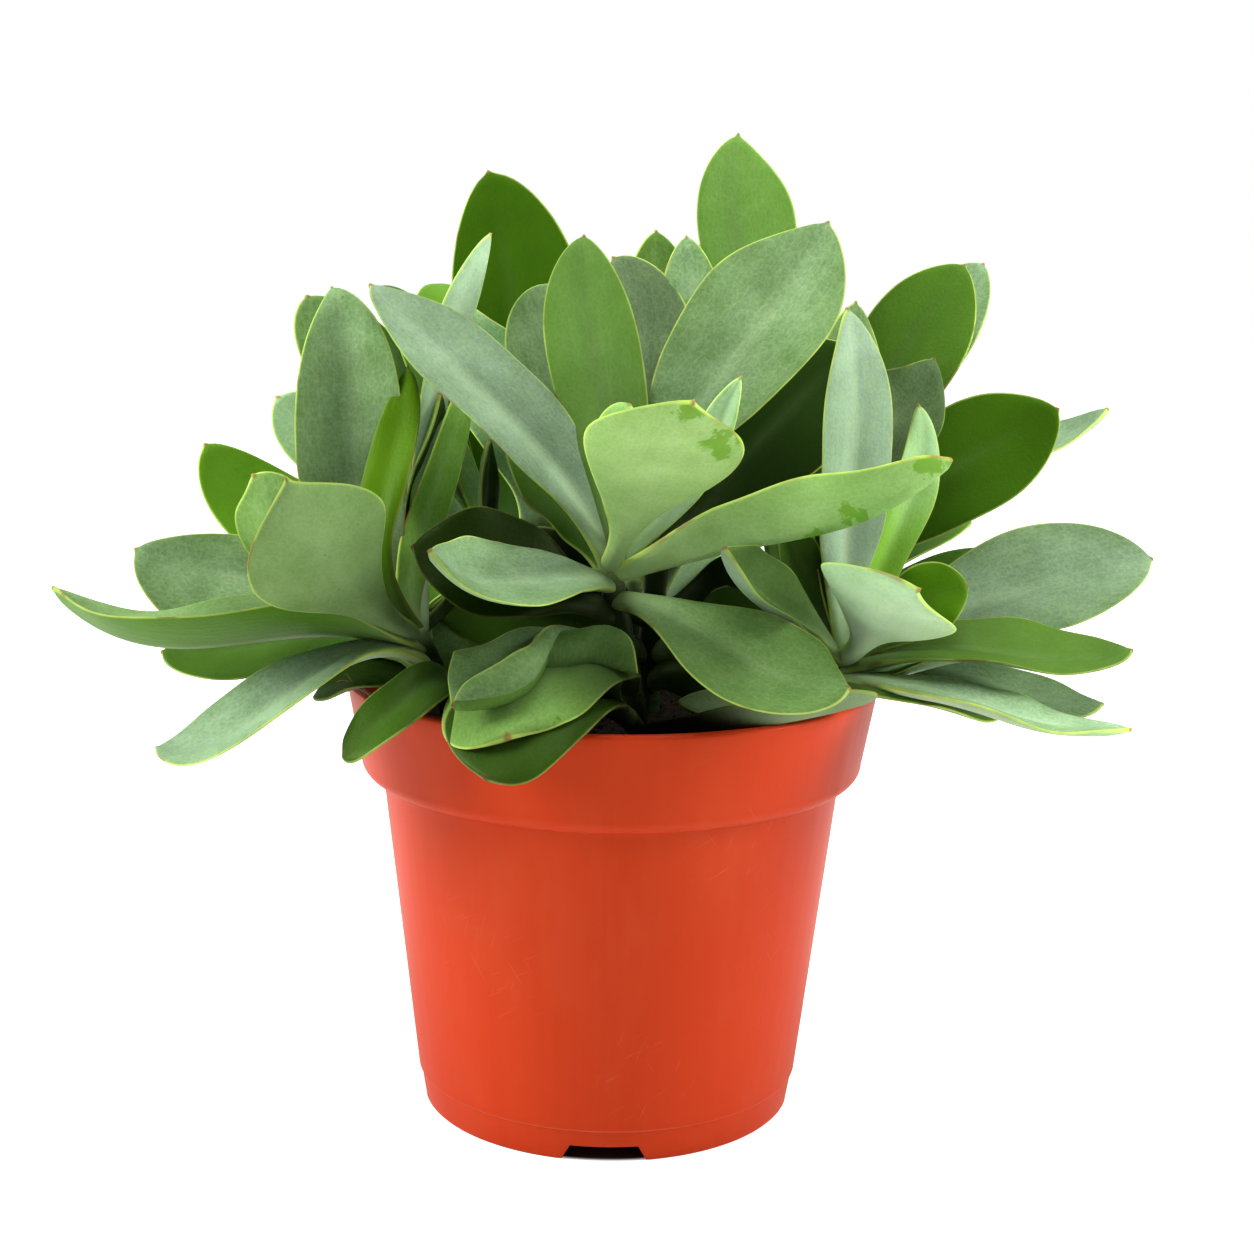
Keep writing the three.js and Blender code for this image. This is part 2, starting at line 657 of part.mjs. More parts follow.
// Half the leaf's width: a blade that is widest at belly and has opened out at flare, on a
// petiole that fades into it
function halfWidth(leaf, t) {
  const power = Math.log(0.5) / Math.log(leaf.belly ?? bellyPlace);
  const blade = Math.sin(Math.PI * t ** power) ** (leaf.blunt ?? endPower) || 0;
  const petiole = (leaf.neck ?? petioleWidth) * (1 - smooth(t / petioleFade));
  const flare = leaf.flare ?? flareEnd;
  const ease = smooth(t / flare) ** (flarePower * flare);
  return Math.max(tipHalfWidth, (leaf.wide * blade * ease + petiole) / 2);
}

function leafGeometry(leaf, base) {
  const points = [base, vector(leaf.third), vector(leaf.twoThirds), vector(leaf.tip)];
  const across = vector(leaf.across).normalize();
  const broad = leaf.wide > broadLeaf;
  const places = broad ? broadPlaces : narrowPlaces;
  const slender = (leaf.neck ?? petioleWidth) / petioleWidth;
  const rings = (broad ? broadStations : narrowStations).map((t) => {
    const ahead = midrib(points, Math.min(1, t + ringStep));
    const along = ahead.sub(midrib(points, Math.max(0, t - ringStep))).normalize();
    const side = across.clone().addScaledVector(along, -across.dot(along)).normalize();
    const upward = side.clone().cross(along);
    const reach = halfWidth(leaf, t);
    const root = 1 - smooth(t / petioleFade);
    const middle = THREE.MathUtils.lerp(bladeThickness, petioleThickness * slender, root);
    const margin = THREE.MathUtils.lerp(marginThickness, petioleMargin * slender, root);
    const open = Math.min(1, openAtBase + t / flareEnd);
    const lean = (leaf.skew ?? 0) * smooth(t / flareEnd);
    const place = (s, face) => {
      const turn = (leaf.fold ?? foldUp) + (leaf.cup ?? cupUp) * Math.abs(s);
      const rise = radians(turn + Math.max(0, (leaf.curl ?? 0) * s)) * open;
      const thin = margin + (middle - margin) * (1 - s * s) * Math.min(1, reach / 3);
      const out = reach * (1 - s * lean);
      return midrib(points, t)
        .addScaledVector(side, out * s * Math.cos(rise))
        .addScaledVector(upward, out * Math.abs(s) * Math.sin(rise) + (face * thin) / 2);
    };
    return [...places.map((s) => place(s, 1)), ...places.map((s) => place(-s, -1))];
  });
  return loftGeometry(rings);
}

// The leaves of one fan
function fanLeaves({ stem, count, from, to, reach, rise, at }) {
  return Array.from({ length: count }, (_, i) => {
    const seed = stem.length * 31 + from + rise + i;
    const turned = THREE.MathUtils.lerp(from, to, i / (count - 1)) + fanSpread.heading * draw(seed);
    const heading = radians(turned);
    const out = reach * (1 + fanSpread.reach * draw(seed + 0.3));
    const up = rise * (1 + fanSpread.rise * draw(seed + 0.6));
    return {
      at: at + fanStep * i,
      steps: fanArch.map(([ahead, lift]) => [
        out * ahead * Math.cos(heading),
        out * ahead * Math.sin(heading),
        up * lift,
      ]),
      wide: fanWidth + fanSpread.wide * draw(seed + 0.9),
      across: [Math.sin(heading), -Math.cos(heading), fanSpread.tilt * draw(seed + 0.5)],
    };
  });
}

function stemPoint({ foot, crown }, at) {
  return vector(foot).lerp(vector(crown), at);
}

function leavesOf(stem) {
  const fanned = fans.filter((fan) => fan.stem === stem.name).flatMap(fanLeaves).map((leaf) => {
    const base = stemPoint(stem, leaf.at);
    const [third, twoThirds, tip] = leaf.steps.map((step) => base.clone().add(vector(step)).toArray());
    return { ...leaf, third, twoThirds, tip };
  });
  return [...Object.values(stem.leaves), ...fanned];
}

// The stem runs straight up out of its hole and then leans to its crown
function stemGeometry({ foot, crown }) {
  const top = vector(crown);
  const lean = top.clone().sub(vector(foot)).normalize();
  const levels = [
    [foot[0], foot[1], soilTop - stemDepth + clearance, stemRadius],
    [foot[0], foot[1], foot[2] + stemRun, stemRadius],
    [...top.toArray(), stemRadius * crownNarrow],
    [...top.clone().addScaledVector(lean, budLength).toArray(), stemRadius * budNarrow],
  ];
  const rings = levels.map(([x, y, z, radius]) => Array.from({ length: stemSides }, (_, i) => {
    const angle = (2 * Math.PI * i) / stemSides;
    return new THREE.Vector3(x + radius * Math.cos(angle), y + radius * Math.sin(angle), z);
  }));
  return loftGeometry(rings);
}

function leafyStemSolid(stem) {
  const blades = leavesOf(stem).map((leaf) => solidOf(leafGeometry(leaf, stemPoint(stem, leaf.at))));
  const joined = wasm.Manifold.union([solidOf(stemGeometry(stem)), ...blades]);
  return outerBody(joined.simplify(mergeTolerance));
}

// Materials and the assembled plant

const plastic = new THREE.MeshStandardMaterial({ color: 0xc8452a, roughness: 0.5, metalness: 0 });
const peat = new THREE.MeshStandardMaterial({ color: 0x2a2019, roughness: 1, metalness: 0 });
const leafSkin = new THREE.MeshStandardMaterial({ color: 0x7f9f74, roughness: 0.6, metalness: 0 });

const plant = new THREE.Group();
for (const stem of stems) plant.add(meshOf(stem.name, leafyStemSolid(stem), leafSkin));

const pottedPlant = new THREE.Group();
pottedPlant.add(meshOf('pot', potSolid(), plastic));
pottedPlant.add(meshOf('soil', soilSolid(), peat));
pottedPlant.add(plant);

export default pottedPlant;
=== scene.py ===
import math
from types import SimpleNamespace

import bpy
import numpy as np
from mathutils import Matrix, Vector


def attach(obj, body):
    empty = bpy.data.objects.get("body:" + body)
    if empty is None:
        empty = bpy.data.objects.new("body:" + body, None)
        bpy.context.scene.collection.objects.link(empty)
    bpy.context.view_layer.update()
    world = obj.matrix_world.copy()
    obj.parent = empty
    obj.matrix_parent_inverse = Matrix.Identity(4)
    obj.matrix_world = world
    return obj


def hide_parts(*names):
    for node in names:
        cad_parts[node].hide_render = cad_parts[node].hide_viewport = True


# A potted senecio cephalophorus. Tables are in millimetres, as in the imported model, and every
# mesh is in metres with its origin at the middle of the pot's foot, +Z up.

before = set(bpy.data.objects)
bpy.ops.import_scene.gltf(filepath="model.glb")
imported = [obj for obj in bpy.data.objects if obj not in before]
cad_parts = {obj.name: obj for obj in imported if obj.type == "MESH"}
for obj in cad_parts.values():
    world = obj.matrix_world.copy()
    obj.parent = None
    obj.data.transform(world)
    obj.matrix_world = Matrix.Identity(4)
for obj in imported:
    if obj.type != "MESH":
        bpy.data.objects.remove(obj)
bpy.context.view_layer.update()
mm = 0.001


# Helpers for colours, nodes and meshes

def linear(hexColour):
    # sRGB hex to linear light: under 0.04045 a straight line, above it a power of 2.4
    parts = np.array([int(hexColour[i:i + 2], 16) / 255 for i in (1, 3, 5)])
    return np.where(parts <= 0.04045, parts / 12.92, ((parts + 0.055) / 1.055) ** 2.4)


def rgba(hexColour):
    return (*linear(hexColour), 1.0)


class Nodes:
    # The node tree of a material or world, cleared, with short ways to add to it

    def __init__(self, owner):
        owner.use_nodes = True
        self.tree = owner.node_tree
        self.tree.nodes.clear()

    def feed(self, node, inputs):
        # An input takes a number, a colour or another node's output
        for key, value in inputs.items():
            if isinstance(value, bpy.types.NodeSocket):
                self.tree.links.new(value, node.inputs[key])
            else:
                node.inputs[key].default_value = value

    def add(self, kind, inputs=None, **settings):
        node = self.tree.nodes.new("ShaderNode" + kind)
        for name, value in settings.items():
            setattr(node, name, value)
        self.feed(node, inputs or {})
        return node

    def mix(self, amount, first, second):
        return self.add("Mix", {0: amount, 6: first, 7: second}, data_type="RGBA").outputs[2]

    def maths(self, operation, first, second=0.0, third=0.0):
        return self.add("Math", {0: first, 1: second, 2: third}, operation=operation).outputs[0]

    def ramp(self, value, low, high, outLow=0.0, outHigh=1.0):
        # Smooth step from outLow to outHigh while value goes from low to high
        inputs = {0: value, 1: low, 2: high, 3: outLow, 4: outHigh}
        return self.add("MapRange", inputs, interpolation_type="SMOOTHSTEP").outputs[0]

    def swing(self, value, amount):
        # A noise times amount, less half of it, so that it pulls both ways
        return self.maths("MULTIPLY_ADD", value, amount, -amount / 2)

    def place(self):
        return self.add("TexCoord").outputs["Object"]

    def surface(self):
        # Millimetres across and along the surface
        return self.add("UVMap", uv_map="surfaceMm").outputs["UV"]

    def attribute(self, name, output="Fac"):
        return self.add("Attribute", attribute_name=name).outputs[output]

    def cells(self, vector, sizeMm, turn=0.0):
        # Surface millimetres turned, then counted in cells of the given width and length
        if turn:
            vector = self.add("Mapping", {"Vector": vector, "Rotation": (0, 0, turn)}).outputs[0]
        return self.add("Mapping", {"Vector": vector, "Scale": (1 / sizeMm[0], 1 / sizeMm[1], 1)}).outputs[0]

    def noise(self, vector, sizeMm=None, detail=2.0, roughness=0.5, distortion=0.0):
        # In place coordinates clumps are sizeMm wide; without a size each cell has one
        scale = 1.0 if sizeMm is None else 1 / (sizeMm * mm)
        inputs = {"Vector": vector, "Scale": scale, "Detail": detail, "Roughness": roughness,
                  "Distortion": distortion}
        return self.add("TexNoise", inputs).outputs["Fac"]

    def spots(self, vector, sizeMm, low, high, amount):
        # A dot in the middle of some cells: full within high of it, gone past low
        inputs = {"Vector": vector, "Scale": 1 / (sizeMm * mm)}
        distance = self.add("TexVoronoi", inputs).outputs["Distance"]
        return self.maths("MULTIPLY", self.ramp(distance, low, high), amount)

    def bump(self, height, strength, distanceMm):
        inputs = {"Height": height, "Strength": strength, "Distance": distanceMm * mm}
        return self.add("Bump", inputs).outputs["Normal"]


def newMaterial(name):
    material = bpy.data.materials.new(name)
    nodes = Nodes(material)
    shader = nodes.add("BsdfPrincipled")
    nodes.add("OutputMaterial", {"Surface": shader.outputs["BSDF"]})
    return material, nodes, shader


def smooth(x):
    x = np.clip(x, 0, 1)
    return x * x * (3 - 2 * x)


def unit(v):
    return v / np.maximum(np.linalg.norm(v, axis=-1, keepdims=True), 1e-9)


def gridFaces(rows, columns):
    # Quads between neighbouring rows, the last column joined to the first
    r = np.arange(rows - 1)[:, None]
    c = np.arange(columns)[None, :]
    d = (c + 1) % columns
    corners = [r * columns + c, r * columns + d, (r + 1) * columns + d, (r + 1) * columns + c]
    return np.stack(corners, -1).reshape(-1, 4)


def fanFaces(ring, centre):
    # Triangles from a ring of points to one point in its middle
    return np.stack([ring, np.roll(ring, -1), np.full(len(ring), centre)], -1)


def link(item):
    bpy.context.scene.collection.objects.link(item)
    return item


class Pile:
    # Collects closed surfaces, with their values at each point, into one mesh

    def __init__(self):
        self.points, self.quads, self.triangles, self.values = [], [], [], {}
        self.count = 0

    def add(self, surface, end, start, inward=False, **values):
        # Rows of points, each row closed into a ring, with a fan to the end point and one to the
        # start. Those two take the values of the first point in the last and the first row.
        rows, columns = surface.shape[:2]
        last = rows * columns
        ring = np.arange(columns)
        fans = np.concatenate([fanFaces(ring + last - columns, last), fanFaces(ring, last + 1)[:, ::-1]])
        order = slice(None, None, -1 if inward else 1)
        self.points.append(np.concatenate([surface.reshape(-1, 3), [end, start]]))
        self.quads.append(gridFaces(rows, columns)[:, order] + self.count)
        self.triangles.append(fans[:, order] + self.count)
        self.count += last + 2
        values.setdefault("surfaceMm", np.zeros((1, 1, 2)))
        for name, data in values.items():
            grid = np.broadcast_to(data, (rows, columns, *np.shape(data)[2:])).reshape(last, -1)
            self.values.setdefault(name, []).append(np.concatenate([grid, grid[[-columns, 0]]]))

    def piece(self, name, material, slotName, replaced=()):
        faces = np.concatenate(self.quads).tolist() + np.concatenate(self.triangles).tolist()
        mesh = bpy.data.meshes.new(name)
        mesh.from_pydata(np.concatenate(self.points) * mm, [], faces)
        mesh.polygons.foreach_set("use_smooth", np.ones(len(faces), bool))
        corners = np.empty(len(mesh.loops), np.int32)
        mesh.loops.foreach_get("vertex_index", corners)
        for key, parts in self.values.items():
            data = np.concatenate(parts).astype(np.float32)
            if data.shape[1] == 1:
                mesh.attributes.new(key, "FLOAT", "POINT").data.foreach_set("value", data.ravel())
            elif data.shape[1] == 2:
                mesh.uv_layers.new(name=key).data.foreach_set("uv", data[corners].ravel())
            else:
                data = np.append(data, np.ones((len(data), 1), np.float32), 1)
                mesh.attributes.new(key, "FLOAT_COLOR", "POINT").data.foreach_set("color", data.ravel())
        mesh.validate()
        mesh.materials.append(material)
        piece = link(bpy.data.objects.new(name, mesh))
        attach(piece, "root")
        if replaced:
            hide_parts(*replaced)
        return piece


# Leaf materials

leafLook = {
    "thinCoatColour": "#a3c46c",     # the whitish wax, where it is thin
    "thickCoatColour": "#afcab0",
    "ribColour": "#b9cf9f",
    "veinColour": "#a5c77c",
    "marginColour": "#b4cb5e",
    "tipColour": "#8a5c38",
    "driedMarginColour": "#8d5f36",
    "petioleColour": "#9fbb7e",
    "pitColour": "#33481c",
    "glossColour": "#c4e08c",
    "grainMm": 0.75,             # clumps of wax
    "patchMm": 9.0,              # where the wax is thicker or thinner
    "streakMm": (1.6, 14),       # streaks of wax, across and along
    "veinMm": (1.3, 2.4),        # meshes of the fine veins, across and along
    "driedMm": 12.0,             # stretches of margin that have dried
    "rubMm": 5.0,                # where a fingertip has rubbed it off
    "pitMm": 5.5,                # how far apart the small dark pits are
    "marginMm": (0.55, 0.12),    # the margin's colour starts, is full, this far from the edge
    "tipMm": (1.3, 0.4),
    "grainSwing": 0.5, "patchSwing": 0.3, "streakSwing": 0.2,
    "coatedRoughness": 0.62,
    "bareRoughness": 0.4,
    "bumpMm": 0.18,
}
# The shade skin is a dark green that paints the shade on leaves deep inside the plant
skins = {"deep": "#3f680e", "fresh": "#588a15", "lime": "#76b014", "olive": "#44583a", "shade": "#20350e"}


def leafMaterial():
    # Waxy leaf cuticle: deep green skin under a matt whitish bloom, thin yellow-green margins,
    # a brown point. The eye sees the wax as fine grey-green grain that fades where it is rubbed.
    material, nodes, shader = newMaterial("waxyLeafCuticle")
    look = SimpleNamespace(**leafLook)
    mix, maths, ramp, noise = nodes.mix, nodes.maths, nodes.ramp, nodes.noise
    place, along = nodes.place(), nodes.surface()
    skin = nodes.attribute("skin", "Color")
    names = ("coat", "cool", "edge", "rib", "tip", "rub", "root", "tone")
    coat, cool, edge, rib, tip, rub, root, tone = map(nodes.attribute, names)

    grain = noise(place, look.grainMm, 3.0, 0.65)
    patches = noise(place, look.patchMm)
    streaks = noise(nodes.cells(along, look.streakMm), roughness=0.55)
    rubbing = noise(place, look.rubMm, 4.0, 0.65, 0.4)
    rubLimit = maths("MULTIPLY_ADD", rub, -0.42, 0.8)      # the more rubbing, the larger the patches
    rubbed = maths("MULTIPLY", ramp(maths("SUBTRACT", rubbing, rubLimit), -0.05, 0.07), ramp(rub, 0.0, 0.2))

    # The wax: its noises fade where it is thin, and rubbing takes most of it off
    uneven = maths("ADD", nodes.swing(patches, look.patchSwing), nodes.swing(grain, look.grainSwing))
    uneven = maths("ADD", uneven, nodes.swing(streaks, look.streakSwing))
    coat = maths("ADD", coat, maths("MULTIPLY", uneven, ramp(coat, 0.0, 0.4)))
    coat = maths("SUBTRACT", coat, maths("MULTIPLY", rubbed, 0.6))
    coat = nodes.add("Clamp", {0: coat}).outputs[0]
    colour = mix(coat, skin, mix(cool, rgba(look.thinCoatColour), rgba(look.thickCoatColour)))

    # Fine veins show in the wax, and the petiole and midrib are paler
    inputs = {"Vector": nodes.cells(along, look.veinMm), "Scale": 1.0}
    veins = nodes.add("TexVoronoi", inputs, feature="DISTANCE_TO_EDGE").outputs["Distance"]
    veined = maths("MULTIPLY", ramp(veins, 0.14, 0.02, 0.0, 0.4), coat)
    colour = mix(veined, colour, rgba(look.veinColour))
    colour = mix(root, colour, rgba(look.petioleColour))
    ribbed = maths("MULTIPLY", rib, maths("MULTIPLY_ADD", coat, 0.45, 0.04))
    colour = mix(ribbed, colour, rgba(look.ribColour))
    colour = mix(nodes.spots(place, look.pitMm, 0.05, 0.02, 0.45), colour, rgba(look.pitColour))

    # The margin, dried brown in stretches, and the point
    margin = maths("MULTIPLY", ramp(edge, *look.marginMm), ramp(patches, 0.25, 0.65, 0.5, 0.9))
    dried = ramp(noise(place, look.driedMm), 0.58, 0.68, 0.0, 0.75)
    colour = mix(margin, colour, mix(dried, rgba(look.marginColour), rgba(look.driedMarginColour)))
    colour = mix(maths("MULTIPLY", ramp(tip, *look.tipMm), 0.75), colour, rgba(look.tipColour))

    # Tone scales the colour: depth of colour together with painted shade and painted light, varied a little
    # at random by the patches
    depth = maths("MULTIPLY", tone, maths("MULTIPLY_ADD", patches, 0.35, 0.9))
    toned = nodes.add("VectorMath", {0: colour, "Scale": depth}, operation="SCALE").outputs["Vector"]
    nodes.feed(shader, {
        "Base Color": toned,
        "Roughness": ramp(coat, 0.0, 0.5, look.bareRoughness, look.coatedRoughness),
        "Normal": nodes.bump(maths("ADD", grain, streaks), 0.6, look.bumpMm),
        "IOR": 1.42,
        "Specular IOR Level": 0.14,              # wax crystals scatter most of the gloss
        "Specular Tint": rgba(look.glossColour),
        "Subsurface Weight": 0.12, "Subsurface Radius": (0.9, 1.4, 0.35), "Subsurface Scale": 1.2 * mm,
    })
    return material


# Leaves and stems

leafDefaults = {
    "fold": 6, "cup": 6, "curl": 0, "skew": 0, "belly": 0.64, "blunt": 0.64, "flare": 0.4, "neck": 5,
    "bloom": 0.35, "tipBloom": 0, "under": None, "cool": None, "skin": "deep", "tone": 1,
    "rootShade": 0.25, "rub": 0, "rubbed": (),
}


def blade(at, third, twoThirds, tip, wide, across, **options):
    # Where on its stem a leaf grows (0 soil, 1 crown), its midrib a third and two thirds along
    # and at the tip, its width and the way across it. Of the options, fold, cup and curl are in
    # degrees; belly is where it is widest, blunt how full its end is, flare where the blade
    # opens from the petiole, neck the petiole's width; bloom and under are the wax above and
    # below, cool how blue-green it is, tone the depth of colour together with painted shade and
    # painted light on the whole leaf, rootShade painted shade towards the base; rub is wear all
    # over, and rubbed holds worn spots as share along, share across and size in mm.
    return SimpleNamespace(at=at, third=third, twoThirds=twoThirds, tip=tip, wide=wide, across=across,
                           **{**leafDefaults, **options})


middleLeaves = dict(
    sweepLeft=blade(0.95, (-13.5, -21, 148.5), (-33.5, -16, 167.5), (-54, -8, 186), 24, (5, 7, 4),
        fold=15, belly=0.62, blunt=0.66, bloom=0.6, under=0.55, tone=0.7),
    uprightFace=blade(0.98, (-1, -16, 151), (-6, -4, 175), (-8, 8, 197), 22, (10, 0, 1),
        fold=15, belly=0.62, blunt=0.66, bloom=0.16, skin="fresh", tone=0.6, cool=0.5),
    curlFront=blade(1, (3, -42, 140), (9, -70, 157), (14.5, -87, 169.5), 32, (-10, 0, 1),
        fold=3, cup=4, belly=0.65, blunt=1.15, flare=0.75, under=0.56, rub=0.1, skin="fresh", cool=0.3,
        rubbed=((0.93, -0.1, 5), (0.78, -0.8, 7))),
    reachRight=blade(0.95, (28, -29.5, 134.5), (49, -38, 141), (68.5, -42, 154.5), 25, (1, -8, 6),
        fold=35, cup=0, belly=0.62, blunt=0.5, flare=0.3, under=0.4, rub=0.2, skin="fresh", tone=1.15,
        cool=0.4, rubbed=((0.56, -0.2, 6), (0.68, 0.2, 5), (0.95, 0.6, 5))),
    lowRight=blade(0.82, (16.5, -39.5, 118), (32, -52.5, 111.5), (48, -59, 110), 27, (-2, -8, -4.8),
        fold=5, cup=4, belly=0.66, blunt=0.66, flare=0.5, bloom=0.22, tone=0.72),
    tongueLeft=blade(0.9, (-14, -36, 127), (-26, -48, 128), (-36.5, -58, 136.5), 25, (-2, 9, 3.5),
        cup=10, belly=0.6, bloom=0.42, under=0.62, tone=0.92),
    paddleRight=blade(0.97, (17.5, -14, 161), (32.5, -4, 180), (46, 5, 201), 33, (8, -4, -4),
        fold=12, blunt=0.66, bloom=0.34, tone=0.9),
    smallHeart=blade(1, (1, -26, 140), (0, -31, 152.5), (3, -32, 163.5), 10, (10, -3, 0),
        fold=8, neck=3, blunt=0.45, belly=0.75, skin="lime"),
    needleRight=blade(1, (14, -27, 144), (20, -33, 157), (25.5, -36, 170), 9, (8, 0, -5),
        fold=25, neck=3, bloom=0.6, skin="fresh", tone=1.35),
    shadeUnder=blade(0.84, (-4.5, -13, 132), (-13, -7, 141), (-24.5, -3, 151), 19, (5, 7, 4),
        fold=5, bloom=0.06, tone=0.95),
    shadeRound=blade(0.7, (-15, -31, 126), (-28, -36, 130), (-42, -39, 134), 25, (0, 5, 8),
        fold=4, bloom=0, tone=0.1),
    coinRight=blade(0.15, (-3.5, -40, 104.5), (-5.5, -46, 111.5), (-2, -38, 117.5), 23, (10, 0, 2.5),
        fold=5, blunt=0.58, neck=4, belly=0.72, flare=0.45, bloom=0.2, tone=0.48),
    coinLeft=blade(0.55, (-13, -40, 113.5), (-17.5, -53, 109), (-31.5, -64.5, 106.5), 25, (-8, 3.5, 2.5),
        fold=3, blunt=0.36, cup=3, curl=-95, skew=-0.3, belly=0.8, bloom=0.32, under=0.1, tone=0.6),
    boatFront=blade(0.3, (-5, -43, 110.5), (-16.5, -56, 106.8), (-20, -67, 100.5), 33, (-9, 4, 0),
        fold=0, cup=-14, blunt=0.5, belly=0.6, skew=-0.3, bloom=0.3, under=0.35, rub=0.25, skin="fresh",
        tone=0.72, cool=0.3, rootShade=0.75),
    hangFront=blade(0.1, (-6, -49, 103.5), (-17, -62, 100), (-24.5, -68.5, 92.3), 30, (-9, 3, 0),
        fold=0, blunt=0.56, belly=0.66, skew=-0.3, cup=-3, bloom=0.06, tone=0.34),
    rimPale=blade(0.06, (18, -45, 98), (37, -47, 101.5), (56, -38, 104), 14, (1, -9, 3),
        fold=20, bloom=0.3, under=0.7, skin="olive", tone=0.45, rootShade=0.97, cool=0.6),
)
leftLeaves = dict(
    fanFront=blade(0.95, (-51, -46, 124), (-57, -66, 138), (-61.5, -78, 153), 31, (-8, -2.5, -6),
        fold=2, cup=4, belly=0.63, blunt=1.1, flare=0.66, under=0.42, skin="fresh", tone=0.58, cool=0.5),
    longTail=blade(0.85, (-66, -35, 115), (-93, -35, 112), (-121, -22, 121), 28, (0, 10, 1),
        fold=36, cup=2, belly=0.45, skew=0.2, bloom=0.52, under=0.0, skin="fresh", tone=0.68, cool=0.5),
    dipLeft=blade(0.72, (-57, -38, 109), (-75, -46, 97), (-95, -43, 91), 22, (-4, 8, 2),
        fold=18, cup=2, belly=0.68, flare=0.55, bloom=0.5),
    darkBetween=blade(0.66, (-61, -14, 109), (-82, -10, 105), (-101, -8, 104), 22, (0, 8, 5),
        fold=5, bloom=0.05, tone=0.64),
    greyOval=blade(0.78, (-64, -4, 117), (-87, 4, 119), (-109.5, 6, 125), 26, (0, 4, 9),
        fold=4, belly=0.62, blunt=0.56, skew=0.22, bloom=0.34, tone=0.8),
    tallFace=blade(0.96, (-55, -20, 139), (-58, -12, 165), (-63, -2, 185), 25, (10, 1, 1),
        fold=17, belly=0.53, blunt=0.68, bloom=0.34, tone=0.94),
    brightBlade=blade(1, (-49.5, -33, 133), (-47.5, -25, 149.5), (-45, -13, 169), 11, (10, -2, 2),
        fold=4, belly=0.66, blunt=0.6, flare=0.6, bloom=0, skin="lime", tone=0.34),
    edgeBlade=blade(1, (-43.5, -22, 128.5), (-38, -12, 147.5), (-33.5, -2, 167), 10, (7, 7, 0),
        fold=10, belly=0.6, bloom=0.2, skin="fresh", tone=1.5, cool=0.2),
    paleNeedle=blade(0.97, (-42, -8, 150.5), (-37.5, 4, 177), (-29, 12, 197), 9, (7, 6, 0),
        fold=12, belly=0.68, bloom=0.75, under=0.85, tone=1.3),
    lightTip=blade(0.9, (-66, -32, 129.5), (-72, -34, 140), (-75, -36, 148), 17, (7, 4, 5),
        fold=5, bloom=0.45, skin="fresh", cool=0.3),
    innerA=blade(1, (-46, -14, 133), (-43, -8, 146.5), (-39, -3, 162.5), 12, (4, 9, 0),
        fold=18, neck=3, bloom=0.06, skin="shade"),
    innerB=blade(1, (-31.5, 0, 124.5), (-29.5, 2, 138), (-28.5, 4, 151.5), 9, (4, 9, 0),
        fold=18, neck=3, bloom=0.03, tone=0.2),
    overRim=blade(0.4, (-38, -42, 105.5), (-47.5, -51, 98.5), (-54.5, -52, 92.5), 13, (-4, 7, 4),
        fold=4, belly=0.6, bloom=0.05, tone=0.6),
    darkRim=blade(0.3, (-46, -24, 103), (-56, -24, 102), (-65, -20, 97), 13, (0, 9, 3),
        fold=5, bloom=0.06, tone=0.28),
    greyLow=blade(0.5, (-52, -8, 110), (-62, -4, 111.5), (-71, -2, 111.5), 11, (0, 6, 8),
        bloom=0.25),
)
rightLeaves = dict(
    tallPale=blade(0.97, (50, -15, 134), (51, -13, 158), (49, -10, 183), 20, (8, 5, 0),
        fold=10, cup=4, belly=0.6, bloom=0.8, tone=0.85),
    tallTip=blade(0.93, (57.5, -10, 125), (65, -6, 143), (66, -4, 162), 12, (9, 4, 0),
        fold=8, bloom=0.1, tipBloom=0.5, skin="lime", tone=0.98),
    darkGrey=blade(0.9, (59, 6, 148), (65, 14, 159), (72.5, 20, 170.5), 21, (8, 2, -5),
        fold=4, blunt=0.62, bloom=0.3, tone=0.38),
    boatLeft=blade(0.9, (38, -27, 117), (28, -38, 126), (22.5, -45, 136), 20, (2, 9, 2),
        fold=35, cup=2, belly=0.58, bloom=0.16, under=0.7, tone=0.56),
    curlRight=blade(0.9, (54, -32, 116), (55, -52, 126), (60, -66, 131.5), 31, (-9, 0, 5),
        fold=2, cup=4, belly=0.63, blunt=1.2, flare=0.7, under=0.68, skin="fresh", tone=1.1),
    smallRound=blade(0.85, (62.5, -17, 116.5), (69.5, -18, 121.5), (77, -18, 124), 16, (2, -4, -9),
        fold=3, blunt=0.55, bloom=0, skin="fresh", tone=0.65),
    bigGrey=blade(0.8, (77, -2, 115), (99, 2, 121.5), (122, 4, 127), 30, (-1, -7, -7),
        fold=9, belly=0.66, bloom=0.46, tone=0.82),
    troughRight=blade(0.72, (73, -20, 110), (94, -20, 108), (114, -16, 110), 23, (0, -9, -3),
        fold=14, belly=0.62, bloom=0.13, skin="fresh", tone=0.58),
    longLow=blade(0.66, (73.5, -32, 102), (89, -36, 98), (111, -32, 96), 17, (-2, -9, -1),
        fold=12, belly=0.56, bloom=0.45, tone=1.2),
    behindLow=blade(0.6, (74, -4, 102), (94, -4, 96.5), (111, -4, 95), 15, (-1, -9, -4),
        fold=5, bloom=0.4, tone=0.7),
    rimDark=blade(0.3, (57, -22, 101.8), (73.5, -20, 98.5), (85.5, -14, 95), 14, (-1, -9, -2),
        fold=4, bloom=0.1),
    soilPale=blade(0.2, (35, -26, 99.5), (26, -31, 99.5), (13.5, -36, 101), 11, (-2, 9, 5),
        fold=3, blunt=0.6, under=0.6, rub=0.35, bloom=0.6, skin="olive", tone=0.5, cool=0.5),
    innerC=blade(1, (43, -14, 122), (39, -16, 130), (36, -16, 137), 11, (8, 4, 2),
        fold=18, neck=3, bloom=0.06, tone=0.45),
    innerD=blade(1, (48, -12, 121), (47, -10, 131), (45, -8, 141), 11, (8, 4, 0),
        fold=18, neck=3, bloom=0.06, skin="shade"),
)
